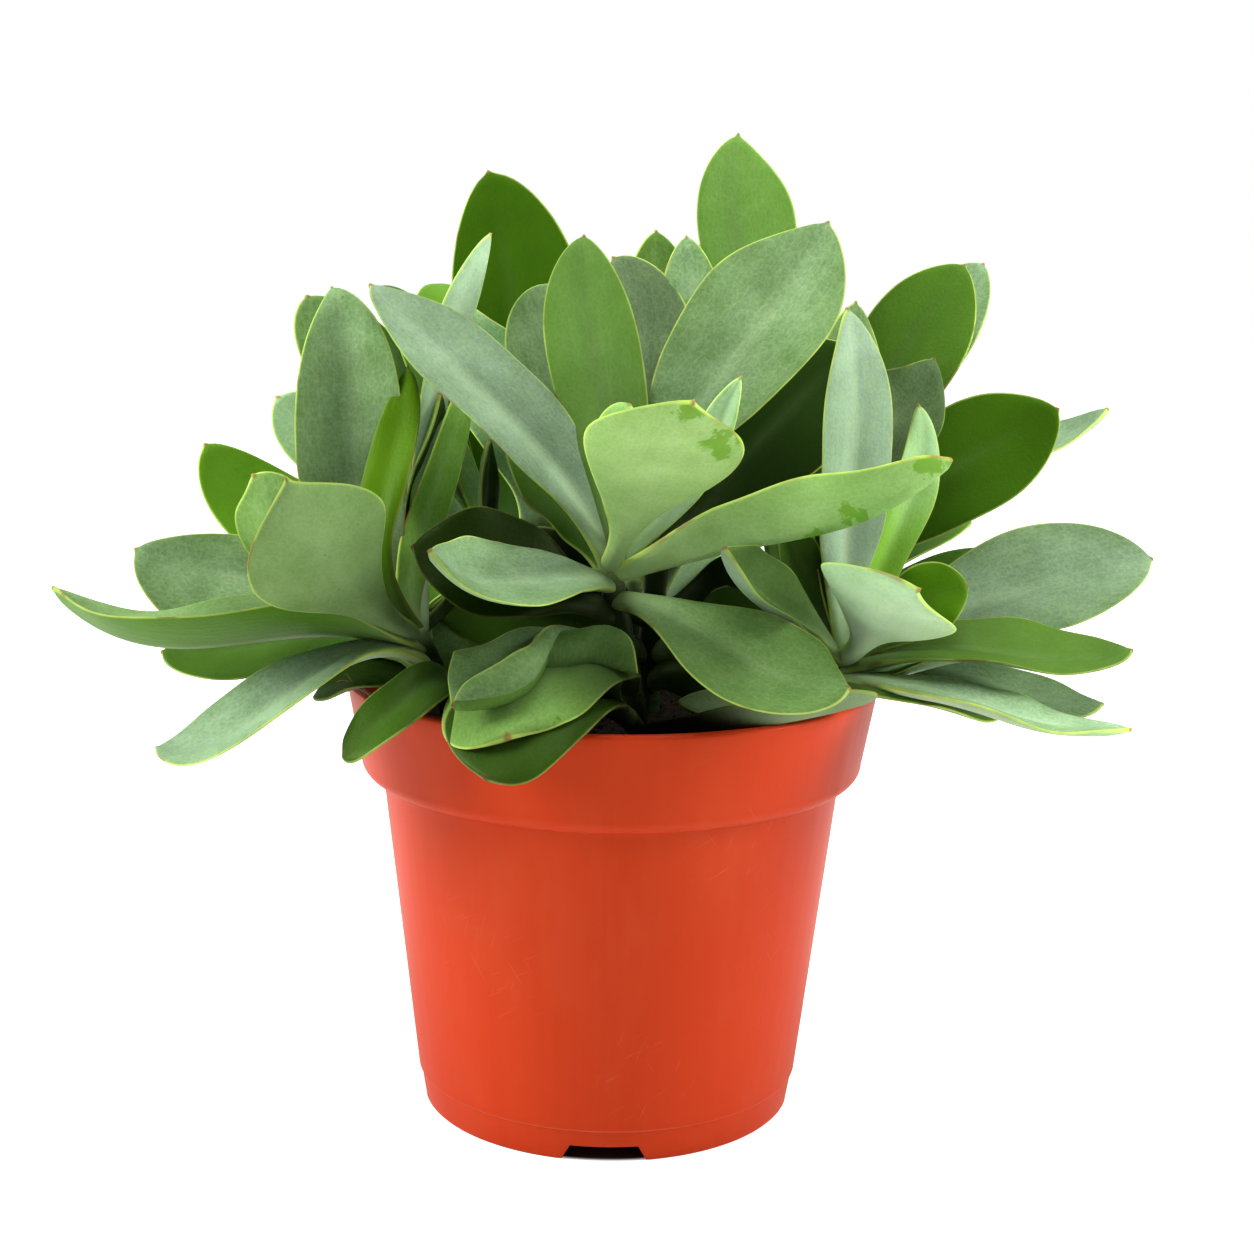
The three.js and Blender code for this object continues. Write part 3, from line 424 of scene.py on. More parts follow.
backLeftLeaves = dict(
    bigDark=blade(0.97, (-24, 28, 149.5), (-25.5, 34, 180.5), (-31.5, 38, 211), 32, (10, 0, 1),
        fold=4, belly=0.62, blunt=0.56, skew=-0.1, bloom=0, tone=0.86),
    peekTop=blade(0.93, (-41, 22, 142), (-60, 22, 165), (-72, 22, 182), 24, (6, 5, 5),
        fold=4, bloom=0.25),
    peekSide=blade(0.87, (-42, 10, 132), (-63, 8, 148), (-77, 8, 160), 22, (5, 6, 6),
        fold=4, bloom=0.5, skin="fresh", tone=1.1),
    brightLeft=blade(0.8, (-51, 24, 119), (-77, 26, 130.5), (-97, 26, 147), 23, (5, 5, 7),
        fold=4, skew=0.25, blunt=0.55, bloom=0.04, skin="fresh", tone=1.12),
    greyBehind=blade(1, (-18, 14, 144), (-28, 14, 162.5), (-34.5, 14, 181.5), 24, (9, 3, 1),
        fold=8, bloom=0.45, tone=2.3),
    innerI=blade(0.4, (-28, 12, 104), (-36, 4, 107), (-46, -3, 108), 21, (0, 2, 9),
        fold=5, bloom=0.25, tone=2.0),
)
backMiddleLeaves = dict(
    topPaddle=blade(0.97, (30, 24, 163), (28, 32, 192), (27, 38, 220.5), 24, (10, 0, 1),
        fold=12, belly=0.74, skew=-0.2, blunt=0.7, bloom=0.18, skin="fresh", tone=0.95, cool=0.5),
    shadeLeft=blade(0.94, (-1, 6, 146), (-11, 12, 168), (-15, 18, 186), 30, (9, 3, 2),
        fold=4, blunt=0.5, bloom=0.36, tone=0.85),
    greyShade=blade(1, (5, 6, 147), (5, 13, 171), (-2, 20, 192), 26, (10, 1, 1),
        fold=4, bloom=0.22, skin="olive"),
    tipA=blade(1, (12, 16, 146), (10, 24, 173), (8, 30, 198), 20, (9, 3, 0),
        bloom=0.14),
    tipB=blade(1, (17, 12, 149), (17, 16, 174), (15, 22, 197), 17, (10, -1, 0),
        fold=10, bloom=0.36, rub=0.15, tone=1.25),
    tipC=blade(0.94, (17, 30, 145), (22, 42, 172), (20, 50, 196), 22, (10, 0, 0),
        bloom=0.3),
    shadeRight=blade(0.86, (24, 4, 143), (39, 8, 159), (53, 12, 173), 32, (8, -4, -5),
        fold=4, bloom=0, skin="shade", tone=1.2),
    # innerE to innerJ are low dark leaves that fill gaps inside the plant where there is only shade; their
    # low tone is painted shade
    innerE=blade(0.5, (-6, 6, 117), (-18, 9, 121), (-29, 11, 124), 21, (4, 2, 8),
        fold=5, bloom=0.0, under=0.0, skin="shade", tone=0.3),
    innerF=blade(0.3, (-8, 2, 109), (-22, 0, 112), (-42, -2, 113.5), 20, (0, 3, 9),
        fold=5, bloom=0.04, under=0.05, tone=0.35),
    innerG=blade(0.5, (22, 4, 116), (30, 3, 118), (38, 2, 120), 20, (-3, 2, 8),
        fold=5, bloom=0.0, under=0.0, tone=0.06),
    innerH=blade(0.3, (20, 0, 109), (28, -2, 111), (37, -2, 111), 20, (0, 3, 9),
        fold=5, bloom=0.0, under=0.0, tone=0.3),
    innerJ=blade(0.12, (14, 4, 99), (22, 0, 100), (30, -4, 101), 15, (0, 3, 9),
        fold=5, bloom=0.0, under=0.0, skin="shade", tone=0.6),
)
backRightLeaves = dict(
    brightRight=blade(0.96, (55, 30, 148), (68, 36, 172), (82, 42, 191), 26.5, (7, -3, -6),
        fold=13, belly=0.66, skew=-0.12, bloom=0.05),
    behindBright=blade(0.9, (59, 38, 149), (75, 46, 174), (88, 52, 191), 21, (7, -3, -6),
        fold=4, bloom=0.4),
    darkRight=blade(0.84, (65, 22, 135), (85.5, 26, 148), (103.5, 28, 158.5), 27, (4, -3, -9),
        fold=4, belly=0.62, blunt=0.6, bloom=0, tone=0.82),
    needleFar=blade(0.8, (75, 38, 137), (100, 44, 147), (119, 46, 157), 17, (0, -9, -3),
        fold=8, bloom=0.5, under=0.6, tone=1.2),
    peekMid=blade(1, (49, 14, 138), (52, 16, 161), (54, 20, 183), 18, (9, 2, 0),
        bloom=0.3),
)

# Each stem: where it leaves the soil, its crown and its leaves
stems = {
    "stem_middle": ((6, -26, 89), (-1, -21, 127), middleLeaves),
    "stem_left": ((-33, -20, 89), (-42, -26, 113), leftLeaves),
    "stem_right": ((42, -9, 89), (51, -14, 108), rightLeaves),
    "stem_backLeft": ((-24, 22, 89), (-26, 23, 116), backLeftLeaves),
    "stem_backMiddle": ((8, 10, 89), (10, 10, 130), backMiddleLeaves),
    "stem_backRight": ((34, 24, 89), (40, 24, 114), backRightLeaves),
    "stem_rear": ((4, 40, 89), (4, 43, 112), {}),
}

# The leaves on the far side: fans between two headings, in degrees about +Z from +X
fans = [
    dict(stem="stem_left", count=2, start=146, end=172, reach=36, rise=22, at=0.5),
    dict(stem="stem_right", count=2, start=4, end=28, reach=34, rise=10, at=0.4),
    dict(stem="stem_backLeft", count=4, start=106, end=168, reach=64, rise=26, at=0.45),
    dict(stem="stem_backLeft", count=3, start=92, end=156, reach=38, rise=66, at=0.85),
    dict(stem="stem_backMiddle", count=2, start=62, end=112, reach=34, rise=40, at=0.6),
    dict(stem="stem_backRight", count=4, start=10, end=68, reach=64, rise=24, at=0.45),
    dict(stem="stem_backRight", count=2, start=56, end=84, reach=34, rise=60, at=0.85),
    dict(stem="stem_rear", count=3, start=62, end=122, reach=44, rise=24, at=0.4),
    dict(stem="stem_rear", count=2, start=68, end=112, reach=27, rise=56, at=0.9),
]
fanShape = {
    "wide": 24, "step": 0.04,
    "midrib": ((0.32, 0.42), (0.67, 0.8), (1, 1)),     # shares of reach and rise
    "headingDraw": 4, "reachDraw": 0.07, "riseDraw": 0.1, "wideDraw": 3,
}
leafShape = {
    "rows": 46, "columns": 40, "crowding": 1.3, "lastRow": 0.998,
    "bladeThickness": 2.3, "marginThickness": 0.9,
    "petioleThickness": 3.8, "petioleMargin": 1.6, "petioleWidth": 5, "petioleFade": 0.5, "neckFade": 0.6,
    "flarePower": 1.25, "crease": 0.004, "open": 0.4,
    "grooveDepth": 0.65, "grooveWidth": 2.3, "keelDepth": 0.4, "ribWidth": 1.1,
    "waveHeight": 0.5, "waveCount": 2.3,
    "pointStart": 0.991, "pointLength": 0.013, "pointHalfWidth": 0.34,
    "underColour": "#86ad55",
}


def draw(seed):
    # Fraction of a large sine, spread from -1 to 1, so that each seed always gives the same draw
    value = math.sin(seed * 12.9898) * 43758.5453
    return 2 * (value - math.floor(value)) - 1


def onStem(foot, crown, at):
    return foot + (crown - foot) * at


def fanLeaves(fan, foot, crown):
    # Leaves spread evenly between the two headings, each a little off by a seeded draw
    k = SimpleNamespace(**fan, **fanShape)
    leaves = []
    for i in range(k.count):
        seed = len(k.stem) * 31 + k.start + k.rise + i
        share = i / (k.count - 1)
        heading = math.radians(k.start + (k.end - k.start) * share + k.headingDraw * draw(seed))
        out = k.reach * (1 + k.reachDraw * draw(seed + 0.3))
        up = k.rise * (1 + k.riseDraw * draw(seed + 0.6))
        ahead = np.array([math.cos(heading), math.sin(heading), 0])
        at = k.at + k.step * i
        base = onStem(foot, crown, at)
        points = [base + (ahead * out * a + np.array([0, 0, up * b])) for a, b in k.midrib]
        leaves.append(blade(
            at, *points, k.wide + k.wideDraw * draw(seed + 0.9),
            (math.sin(heading), -math.cos(heading), 0.1 * draw(seed + 0.5)),
            bloom=0.25 + 0.2 * draw(seed + 1.3), skin=("deep", "fresh")[i % 2]))
    return leaves


def midrib(points, t):
    # The cubic through four points spaced evenly along it: the sum of each point times the
    # product of the distances of t from the other three
    t = t[:, None]
    return (points[0] * -4.5 * (t - 1 / 3) * (t - 2 / 3) * (t - 1)
            + points[1] * 13.5 * t * (t - 2 / 3) * (t - 1)
            + points[2] * -13.5 * t * (t - 1 / 3) * (t - 1)
            + points[3] * 4.5 * t * (t - 1 / 3) * (t - 2 / 3))


def halfWidth(leaf, t, k):
    # Half of: width times a sine arch whose top is at belly, raised to the power blunt, eased
    # in from the stem up to flare, plus a petiole that fades out; a small point stands past it
    power = math.log(0.5) / math.log(leaf.belly)
    arch = np.clip(t / k.pointStart, 0, 1) ** power
    body = np.sin(np.pi * arch).clip(0) ** leaf.blunt
    petiole = leaf.neck * (1 - smooth(t / k.neckFade))
    half = (leaf.wide * body * smooth(t / leaf.flare) ** (k.flarePower * leaf.flare) + petiole) / 2
    point = k.pointHalfWidth * np.sqrt(np.clip((1 - t) / k.pointLength, 0, 1))
    return np.maximum(half, point)


def leafSurface(leaf, base, seed, k):
    # A blade over t, from base to tip, and angle a round its section. Across the section,
    # s = -cos(a) runs from one margin to the other and back. Each half is turned up by fold
    # plus cup times |s| degrees, and a parabola in s gives the thickness, rounded at the margin.
    points = [np.array(p, float) for p in (base, leaf.third, leaf.twoThirds, leaf.tip)]
    t = 1 - (1 - np.linspace(0, 1, k.rows + 1)[:-1]) ** k.crowding
    t = t / t[-1] * k.lastRow
    ahead, behind = np.minimum(t + 0.01, 1), np.maximum(t - 0.01, 0)
    along = unit(midrib(points, ahead) - midrib(points, behind))
    across = unit(np.array(leaf.across, float))
    side = unit(across - along * (along @ across)[:, None])
    upward = np.cross(side, along)
    centre = midrib(points, t)
    reach = halfWidth(leaf, t, k)[:, None]
    t = t[:, None]

    angle = 2 * np.pi * np.arange(k.columns)[None, :] / k.columns
    s = -np.cos(angle) * np.ones_like(t)
    half = reach * (1 - s * leaf.skew * smooth(t / k.open))
    face = np.sign(np.sin(angle).round(9))                # 1 above, -1 below, 0 on the margins
    slender = leaf.neck / k.petioleWidth
    root = 1 - smooth(t / k.petioleFade)
    middle = k.bladeThickness + (k.petioleThickness * slender - k.bladeThickness) * root
    margin = k.marginThickness + (k.petioleMargin * slender - k.marginThickness) * root
    thick = margin + (middle - margin) * (1 - s * s) * np.minimum(1, half / 3)
    thick = thick * np.sqrt(1 - np.abs(s) ** 7)
    turned = leaf.fold + leaf.cup * np.abs(s) + np.maximum(0, leaf.curl * s)
    rise = np.radians(turned) * np.minimum(1, 0.3 + t / k.open)
    bent = np.sqrt(s * s + k.crease) - math.sqrt(k.crease)      # |s| with a rounded crease
    x = half * s
    ribFade = smooth(t / 0.2) * (1 - smooth((t - 0.55) / 0.45))
    relief = np.where(face > 0, -k.grooveDepth, -k.keelDepth) * np.exp(-(x / k.grooveWidth) ** 2) * ribFade
    wave = k.waveHeight * np.abs(s) ** 3 * smooth(t / k.open) * np.minimum(1, half / 6)
    turns = (k.waveCount + 0.5 * draw(seed)) * t
    wave = wave * np.sin(2 * np.pi * turns + 3 * draw(seed + 0.2) + 1.9 * (s > 0))
    lift = half * bent * np.sin(rise) + face * thick / 2 + relief + wave
    surface = (centre[:, None, :] + side[:, None, :] * (x * np.cos(rise))[..., None]
               + upward[:, None, :] * lift[..., None])
    steps = np.linalg.norm(np.diff(centre, axis=0), axis=1)
    length = np.concatenate([[0], np.cumsum(steps)])[:, None]
    return SimpleNamespace(surface=surface, t=t, s=s, x=x, half=half, reach=reach, face=face,
                           ribFade=ribFade, length=length, total=length[-1, 0])


def leafValues(leaf, b, seed, k):
    # What the material reads at each point: wax, distances from the margin and tip, wear, and a tone that
    # holds painted shade and painted light
    t, s, x, face = b.t, b.s, b.x, b.face
    under = min(0.8, leaf.bloom + 0.2) if leaf.under is None else leaf.under
    skin = linear(skins[leaf.skin])
    paleShare = 0.4 * min(1, under / 0.4)                 # a bare underside is hardly paler
    underSkin = (1 - paleShare) * skin + paleShare * linear(k.underColour)
    coat = np.where(face >= 0, leaf.bloom, under) * (1 - 0.25 * s ** 2)
    coat = coat + 0.12 * min(1, leaf.bloom / 0.3) * (1 - smooth(t / 0.5))
    coat = coat + leaf.tipBloom * smooth((t - 0.3) / 0.7)
    rub = leaf.rub * smooth((t - 0.3) / 0.4)
    for spotT, spotS, spotMm in leaf.rubbed:
        away = ((t - spotT) * b.total) ** 2 + ((s - spotS) * b.reach) ** 2
        rub = np.maximum(rub, np.exp(-away / spotMm ** 2))
    # Painted light and shade of the midrib's groove: paler on one side of the midrib and darker on the
    # other, on the lower half
    lower = 1 - smooth((t - 0.35) / 0.4)
    beside = smooth(t / 0.12) * lower * (face > 0)
    paintedGrooveShade = 1 + 0.2 * beside * (np.exp(-((x + 1.8) / 2.4) ** 2) - np.exp(-((x - 3.2) / 3.2) ** 2))
    return {
        "coat": coat,
        "cool": np.clip(coat / 0.45, 0, 1) if leaf.cool is None else leaf.cool,
        "edge": (1 - np.abs(s)) * b.half,
        "rib": np.exp(-(x / k.ribWidth) ** 2) * b.ribFade * np.where(face > 0, 0.8, 0.35),
        "tip": (b.total - b.length) + np.abs(x) * 0.8,
        "rub": rub,
        # Leaves with the painted-shade skin get little of the pale petiole colour
        "root": (1 - smooth(t / 0.3)) * (0.15 if leaf.skin == "shade" else 0.6),
        # Painted shade and painted light: the leaf's tone, painted shade towards the base, and the painted
        # shade beside the midrib
        "tone": leaf.tone * (1 - leaf.rootShade * lower) * paintedGrooveShade,
        "skin": np.where(face[..., None] >= 0, skin, underSkin),
        "surfaceMm": np.stack(np.broadcast_arrays(x + 100 * seed % 997, b.length), -1),
    }


def addLeaf(pile, leaf, base, seed):
    k = SimpleNamespace(**leafShape)
    b = leafSurface(leaf, base, seed, k)
    pile.add(b.surface, leaf.tip, base, **leafValues(leaf, b, seed, k))


stemShape = {
    "radius": 3.0, "rows": 40, "columns": 24, "depth": 6.0, "straight": 1.5, "straightShare": 0.22,
    "pastCrown": 2.5, "nodeSpacing": 5.5, "nodeSwell": 0.28, "barkColour": "#24351a",
}


def addStem(pile, foot, crown):
    # A tube from below the soil up to the crown: a straight run, then a lean; its radius
    # swells by a small cosine at each leaf scar, and narrows at the growing point
    k = SimpleNamespace(**stemShape)
    lean = unit(crown - foot)
    u = np.linspace(0, 1, k.rows)
    straight = foot + np.array([0, 0, k.straight])
    low = foot - np.array([0, 0, k.depth])
    lower = low + (straight - low) * np.minimum(u / k.straightShare, 1)[:, None]
    leaning = smooth((u - k.straightShare) / (1 - k.straightShare))[:, None] ** 0.9
    centre = lower + (crown + k.pastCrown * lean - straight) * leaning
    height = np.linalg.norm(centre - low, axis=1)[:, None]
    u = u[:, None]
    swell = k.nodeSwell * np.cos(2 * np.pi * height / k.nodeSpacing) ** 6
    radius = (k.radius * (1 - 0.18 * u) + swell) * (1 - 0.7 * smooth((u - 0.94) / 0.06))
    angle = 2 * np.pi * np.arange(k.columns) / k.columns
    ring = np.stack([np.cos(angle), np.sin(angle), 0 * angle], -1)
    fresh = smooth((u - 0.72) / 0.25)                     # pale only at the growing point
    # The stem is dark bark deepened with painted shade, through its colour and a tone that falls away from
    # the growing point
    pile.add(centre[:, None, :] + ring * radius[..., None], centre[-1] + lean * 0.4, centre[0],
             coat=0.35 * fresh, cool=0.0, edge=9.0, rib=0.0, tip=30.0, rub=0.0, root=0.6 * fresh,
             tone=0.5 + 0.4 * fresh, skin=linear(k.barkColour)[None, None],
             surfaceMm=np.stack(np.broadcast_arrays(np.arange(k.columns) * 0.8, height), -1))


leafSkin = leafMaterial()
leafCount = 0
for stemName, (foot, crown, leaves) in stems.items():
    foot, crown = np.array(foot, float), np.array(crown, float)
    pile = Pile()
    addStem(pile, foot, crown)
    grown = list(leaves.values())
    for fan in fans:
        if fan["stem"] == stemName:
            grown += fanLeaves(fan, foot, crown)
    for leaf in grown:
        leafCount += 1
        addLeaf(pile, leaf, onStem(foot, crown, leaf.at), leafCount)
    pile.piece(stemName + "_leaves", leafSkin, "leaf", (stemName,))
print("leaves", leafCount)


# Pot

potShape = {
    "height": 99.5, "rimRadius": 60, "wall": 1.6, "lipWidth": 2.4, "lipRound": 0.9,
    "bandBottom": 77.5, "bandFootRadius": 56.8, "bandRound": 3.4, "bodyTopRadius": 52,
    "partingHeight": 7.6, "partingRadius": 43.9, "partingStep": 0.5,
    "footRadius": 42.4, "footRingWidth": 2.2, "floorUnderside": 3.6, "floorTop": 5.4, "floorMiddle": 14.0,
    "notchWidthBelow": 18.6, "notchWidthAbove": 15, "notchCount": 4,
    "drainRadius": 4, "drainCircle": 26, "drainCount": 4, "columns": 288,
}
potLook = {
    "colour": "#b83614", "deepColour": "#ac2f0f", "paleColour": "#c95f3c", "dustColour": "#dcab95",
    "speckColour": "#6d2413", "glossColour": "#ffc9a0",
    "streakMm": (2.6, 70), "cloudMm": (24, 60), "grainMm": 0.35, "speckMm": 11,
    # Three sets of fine scuffs: width and length in mm, turn in radians, where the noise shows
    "scuffs": ((0.3, 14, 1.1, 0.7), (0.28, 16, -0.6, 0.71), (0.32, 12, 0.35, 0.71)),
    "scuffAmount": 0.14,
    "roughness": 0.42,
}


def potMaterial():
    # Injection-moulded polypropylene, terracotta orange: satin, with faint upright draw marks
    # from the mould, a pale rubbed parting line, fine scuffs, and pale dust
    material, nodes, shader = newMaterial("mouldedPolypropylene")
    place = nodes.place()
    around = nodes.surface()

    look = SimpleNamespace(**potLook)
    mix, maths, ramp = nodes.mix, nodes.maths, nodes.ramp

    def stretchedNoise(sizeMm, lengthMm, detail=3.0, turn=0.0):
        return nodes.noise(nodes.cells(around, (sizeMm, lengthMm), turn), detail=detail, roughness=0.6)

    streaks = stretchedNoise(*look.streakMm)
    grain = nodes.noise(place, look.grainMm)
    colour = mix(ramp(streaks, 0.3, 0.75, 0.0, 0.22), rgba(look.colour), rgba(look.deepColour))
    cloudy = ramp(stretchedNoise(*look.cloudMm), 0.45, 0.8, 0.0, 0.16)
    colour = mix(cloudy, colour, rgba(look.paleColour))
    height = nodes.add("SeparateXYZ", {"Vector": place}).outputs["Z"]
    fromLine = maths("ABSOLUTE", maths("SUBTRACT", height, (potShape["partingHeight"] - 0.1) * mm))
    colour = mix(ramp(fromLine, 0.35 * mm, 0.1 * mm, 0.0, 0.45), colour, rgba(look.paleColour))
    scuffs = 0.0
    for sizeMm, lengthMm, turn, limit in look.scuffs:
        mark = ramp(stretchedNoise(sizeMm, lengthMm, 1.0, turn), limit, limit + 0.04)
        scuffs = maths("MAXIMUM", scuffs, mark)
    scuffs = maths("MULTIPLY", scuffs, ramp(stretchedNoise(30, 30, 1.0), 0.5, 0.65))
    colour = mix(maths("MULTIPLY", scuffs, look.scuffAmount), colour, rgba(look.dustColour))
    colour = mix(nodes.spots(place, look.speckMm, 0.026, 0.014, 0.6), colour, rgba(look.speckColour))
    rough = maths("ADD", maths("MULTIPLY_ADD", scuffs, 0.15, look.roughness), nodes.swing(streaks, 0.1))
    nodes.feed(shader, {
        "Base Color": colour,
        "Roughness": rough,
        "Normal": nodes.bump(maths("ADD", streaks, maths("MULTIPLY", grain, 0.35)), 0.5, 0.05),
        "IOR": 1.49,
        "Specular IOR Level": 0.15,
        "Specular Tint": rgba(look.glossColour),
        "Subsurface Weight": 0.08, "Subsurface Radius": (1.6, 0.5, 0.2), "Subsurface Scale": 1.0 * mm,
    })
    return material


def notchHeight(angle, radius):
    # How high the foot ring is cut away: zero outside the notches, the full height inside, and
    # a straight slope over each slanted side
    turn = 2 * np.pi / potShape["notchCount"]
    offset = np.abs((angle + turn / 2) % turn - turn / 2) * radius
    low, high = potShape["notchWidthBelow"] / 2, potShape["notchWidthAbove"] / 2
    return potShape["floorUnderside"] * np.clip((low - offset) / (low - high), 0, 1)


def arc(centre, radius, fromDegrees, toDegrees, steps):
    a = np.radians(np.linspace(fromDegrees, toDegrees, steps))
    return [(centre[0] + radius * math.cos(v), centre[1] + radius * math.sin(v)) for v in a]


def line(start, end, steps):
    share = np.linspace(0, 1, steps + 1)[1:-1]
    return [start] + [tuple(s + (e - s) * k for s, e in zip(start, end)) for k in share]


def makePot():
    # A closed profile of (radius, height) turned about the axis: underside, foot ring, body,
    # band with its round lower edge, lip, inside wall, floor
    p = SimpleNamespace(**potShape)
    ringInner = p.footRadius - p.footRingWidth
    bandFoot = p.bandBottom + p.bandRound
    slope = (p.rimRadius - p.bandFootRadius) / (p.height - bandFoot)
    lip, inner = p.lipRound, p.rimRadius - p.lipWidth
    parting = (p.partingRadius - p.partingStep, p.partingHeight - 0.35)
    bandInner = (p.bandFootRadius - p.lipWidth, bandFoot)
    bodyInner = (p.bodyTopRadius - p.wall, p.bandBottom - p.wall)
    floorRadius = p.partingRadius - p.wall
    profile = np.array([
        (0.0, p.floorUnderside),
        *line((p.floorMiddle, p.floorUnderside), (ringInner - 0.4, p.floorUnderside), 4),
        (ringInner - 0.4, p.floorUnderside), (ringInner, p.floorUnderside - 0.4),
        (ringInner, 0.3), (ringInner + 0.3, 0.0), (p.footRadius - 0.35, 0.0), (p.footRadius, 0.35),
        *line((p.footRadius + 0.03, 0.6), parting, 6),
        parting, (p.partingRadius - 0.15, p.partingHeight - 0.1), (p.partingRadius, p.partingHeight + 0.1),
        *line((p.partingRadius + 0.02, p.partingHeight + 0.4), (p.bodyTopRadius, p.bandBottom - 0.4), 24),
        *arc((p.bodyTopRadius + 0.5, p.bandBottom - 0.5), 0.5, 180, 90, 4),
        *arc((p.bandFootRadius - p.bandRound, bandFoot), p.bandRound, -88, 0, 12),
        *line((p.bandFootRadius + slope * 0.5, bandFoot + 0.5), (p.rimRadius, p.height - lip), 10),
        *arc((p.rimRadius - lip, p.height - lip), lip, 0, 90, 6),
        *arc((inner + lip * 0.6, p.height - lip * 0.6), lip * 0.6, 90, 180, 4),
        *line((inner - 0.05, p.height - lip - 0.4), bandInner, 5),
        *line(bandInner, bodyInner, 3),
        *line(bodyInner, (floorRadius, p.partingHeight), 6),
        (floorRadius - 0.4, p.floorTop + 0.6), (floorRadius - 1.2, p.floorTop),
        (p.floorMiddle, p.floorTop), (0.0, p.floorTop),
    ])
    angle = 2 * np.pi * np.arange(p.columns) / p.columns - np.pi / 2
    radius, height = profile[1:-1, :1], profile[1:-1, 1:]
    onFoot = (height < p.floorUnderside) & (radius > ringInner - 0.2)
    height = np.where(onFoot, np.maximum(height, notchHeight(angle + np.pi / 2, p.footRadius)), height)
    surface = np.stack([radius * np.cos(angle), radius * np.sin(angle), height], -1)
    steps = np.linalg.norm(np.diff(profile[1:-1], axis=0), axis=1)
    along = np.concatenate([[0], np.cumsum(steps)])[:, None]
    pile = Pile()
    pile.add(surface, (0, 0, p.floorTop), (0, 0, p.floorUnderside),
             surfaceMm=np.stack(np.broadcast_arrays(angle * 50, along), -1))
    pot = pile.piece("nurseryPot", potMaterial(), "pot_plastic", ("pot",))
    cutDrains(pot)
    pot.data.set_sharp_from_angle(angle=math.radians(38))
    return pot


def cutDrains(pot):
    for i in range(potShape["drainCount"]):
        angle = 2 * math.pi * (i + 0.5) / potShape["drainCount"]
        out, radius = potShape["drainCircle"] * mm, potShape["drainRadius"] * mm
        where = (out * math.cos(angle), out * math.sin(angle), 4.5 * mm)
        bpy.ops.mesh.primitive_cylinder_add(vertices=48, radius=radius, depth=8 * mm, location=where)
        cutter = bpy.context.object
        modifier = pot.modifiers.new("drain", "BOOLEAN")
        modifier.object = cutter
        modifier.solver = "EXACT"
        bpy.context.view_layer.update()
        evaluated = pot.evaluated_get(bpy.context.evaluated_depsgraph_get())
        drilled = bpy.data.meshes.new_from_object(evaluated)
        pot.modifiers.clear()
        pot.data = drilled
        bpy.data.objects.remove(cutter)


makePot()
print("pot")


# Soil

soilShape = {
    "top": 88.6, "bottom": 5.7, "edgeRadius": 55.0, "neckRadius": 49.6, "neckHeight": 75.9,
    "footRadius": 41.0,
    "rings": 110, "columns": 220, "crumbCount": 420, "crumbSize": (0.8, 2.4), "seed": 7,
}
soilLook = {
    "darkColour": "#0f0a07", "brownColour": "#2b2013", "paleColour": "#55462f", "fleckColour": "#84705a",
    "crumbMm": 1.6, "fibreMm": 0.5,
}


def peatMaterial():
    # Moist peat: crumbly, matt and nearly black, with brown fibres and a few pale flecks
    material, nodes, shader = newMaterial("moistPeat")
    place = nodes.place()
    look = SimpleNamespace(**soilLook)
    crumbs = nodes.noise(place, look.crumbMm, 5.0, 0.7)
    fibre = nodes.noise(place, look.fibreMm, distortion=1.5)
    colour = nodes.mix(nodes.ramp(crumbs, 0.4, 0.75), rgba(look.darkColour), rgba(look.brownColour))
    colour = nodes.mix(nodes.ramp(fibre, 0.62, 0.75, 0.0, 0.5), colour, rgba(look.paleColour))
    colour = nodes.mix(nodes.attribute("tint"), colour, rgba(look.fleckColour))
    nodes.feed(shader, {"Base Color": colour, "Normal": nodes.bump(crumbs, 0.9, 0.5),
                        "Roughness": 0.95, "Specular IOR Level": 0.1})
    return material


def crumbHeight(x, y):
    # Two crossing sets of low waves, as in the packed soil, plus ever finer rough waves
    broad = np.sin(x / 3.4 + 1.3) * np.cos(y / 3.4)
    slanting = np.sin((1.6 * y - 1.3 * x) / 3.4)
    height = 0.5 * (broad + 0.6 * slanting) - 0.3
    for size, amount, turn in ((2.1, 0.35, 0.7), (1.2, 0.28, 2.1), (0.7, 0.2, 3.9)):
        u = x * math.cos(turn) + y * math.sin(turn)
        v = y * math.cos(turn) - x * math.sin(turn)
        across = np.sin(u / size + 1.7 * np.sin(v / size / 1.9))
        height = height + amount * across * np.cos(v / size + 1.3 * np.sin(u / size / 1.4))
    return height


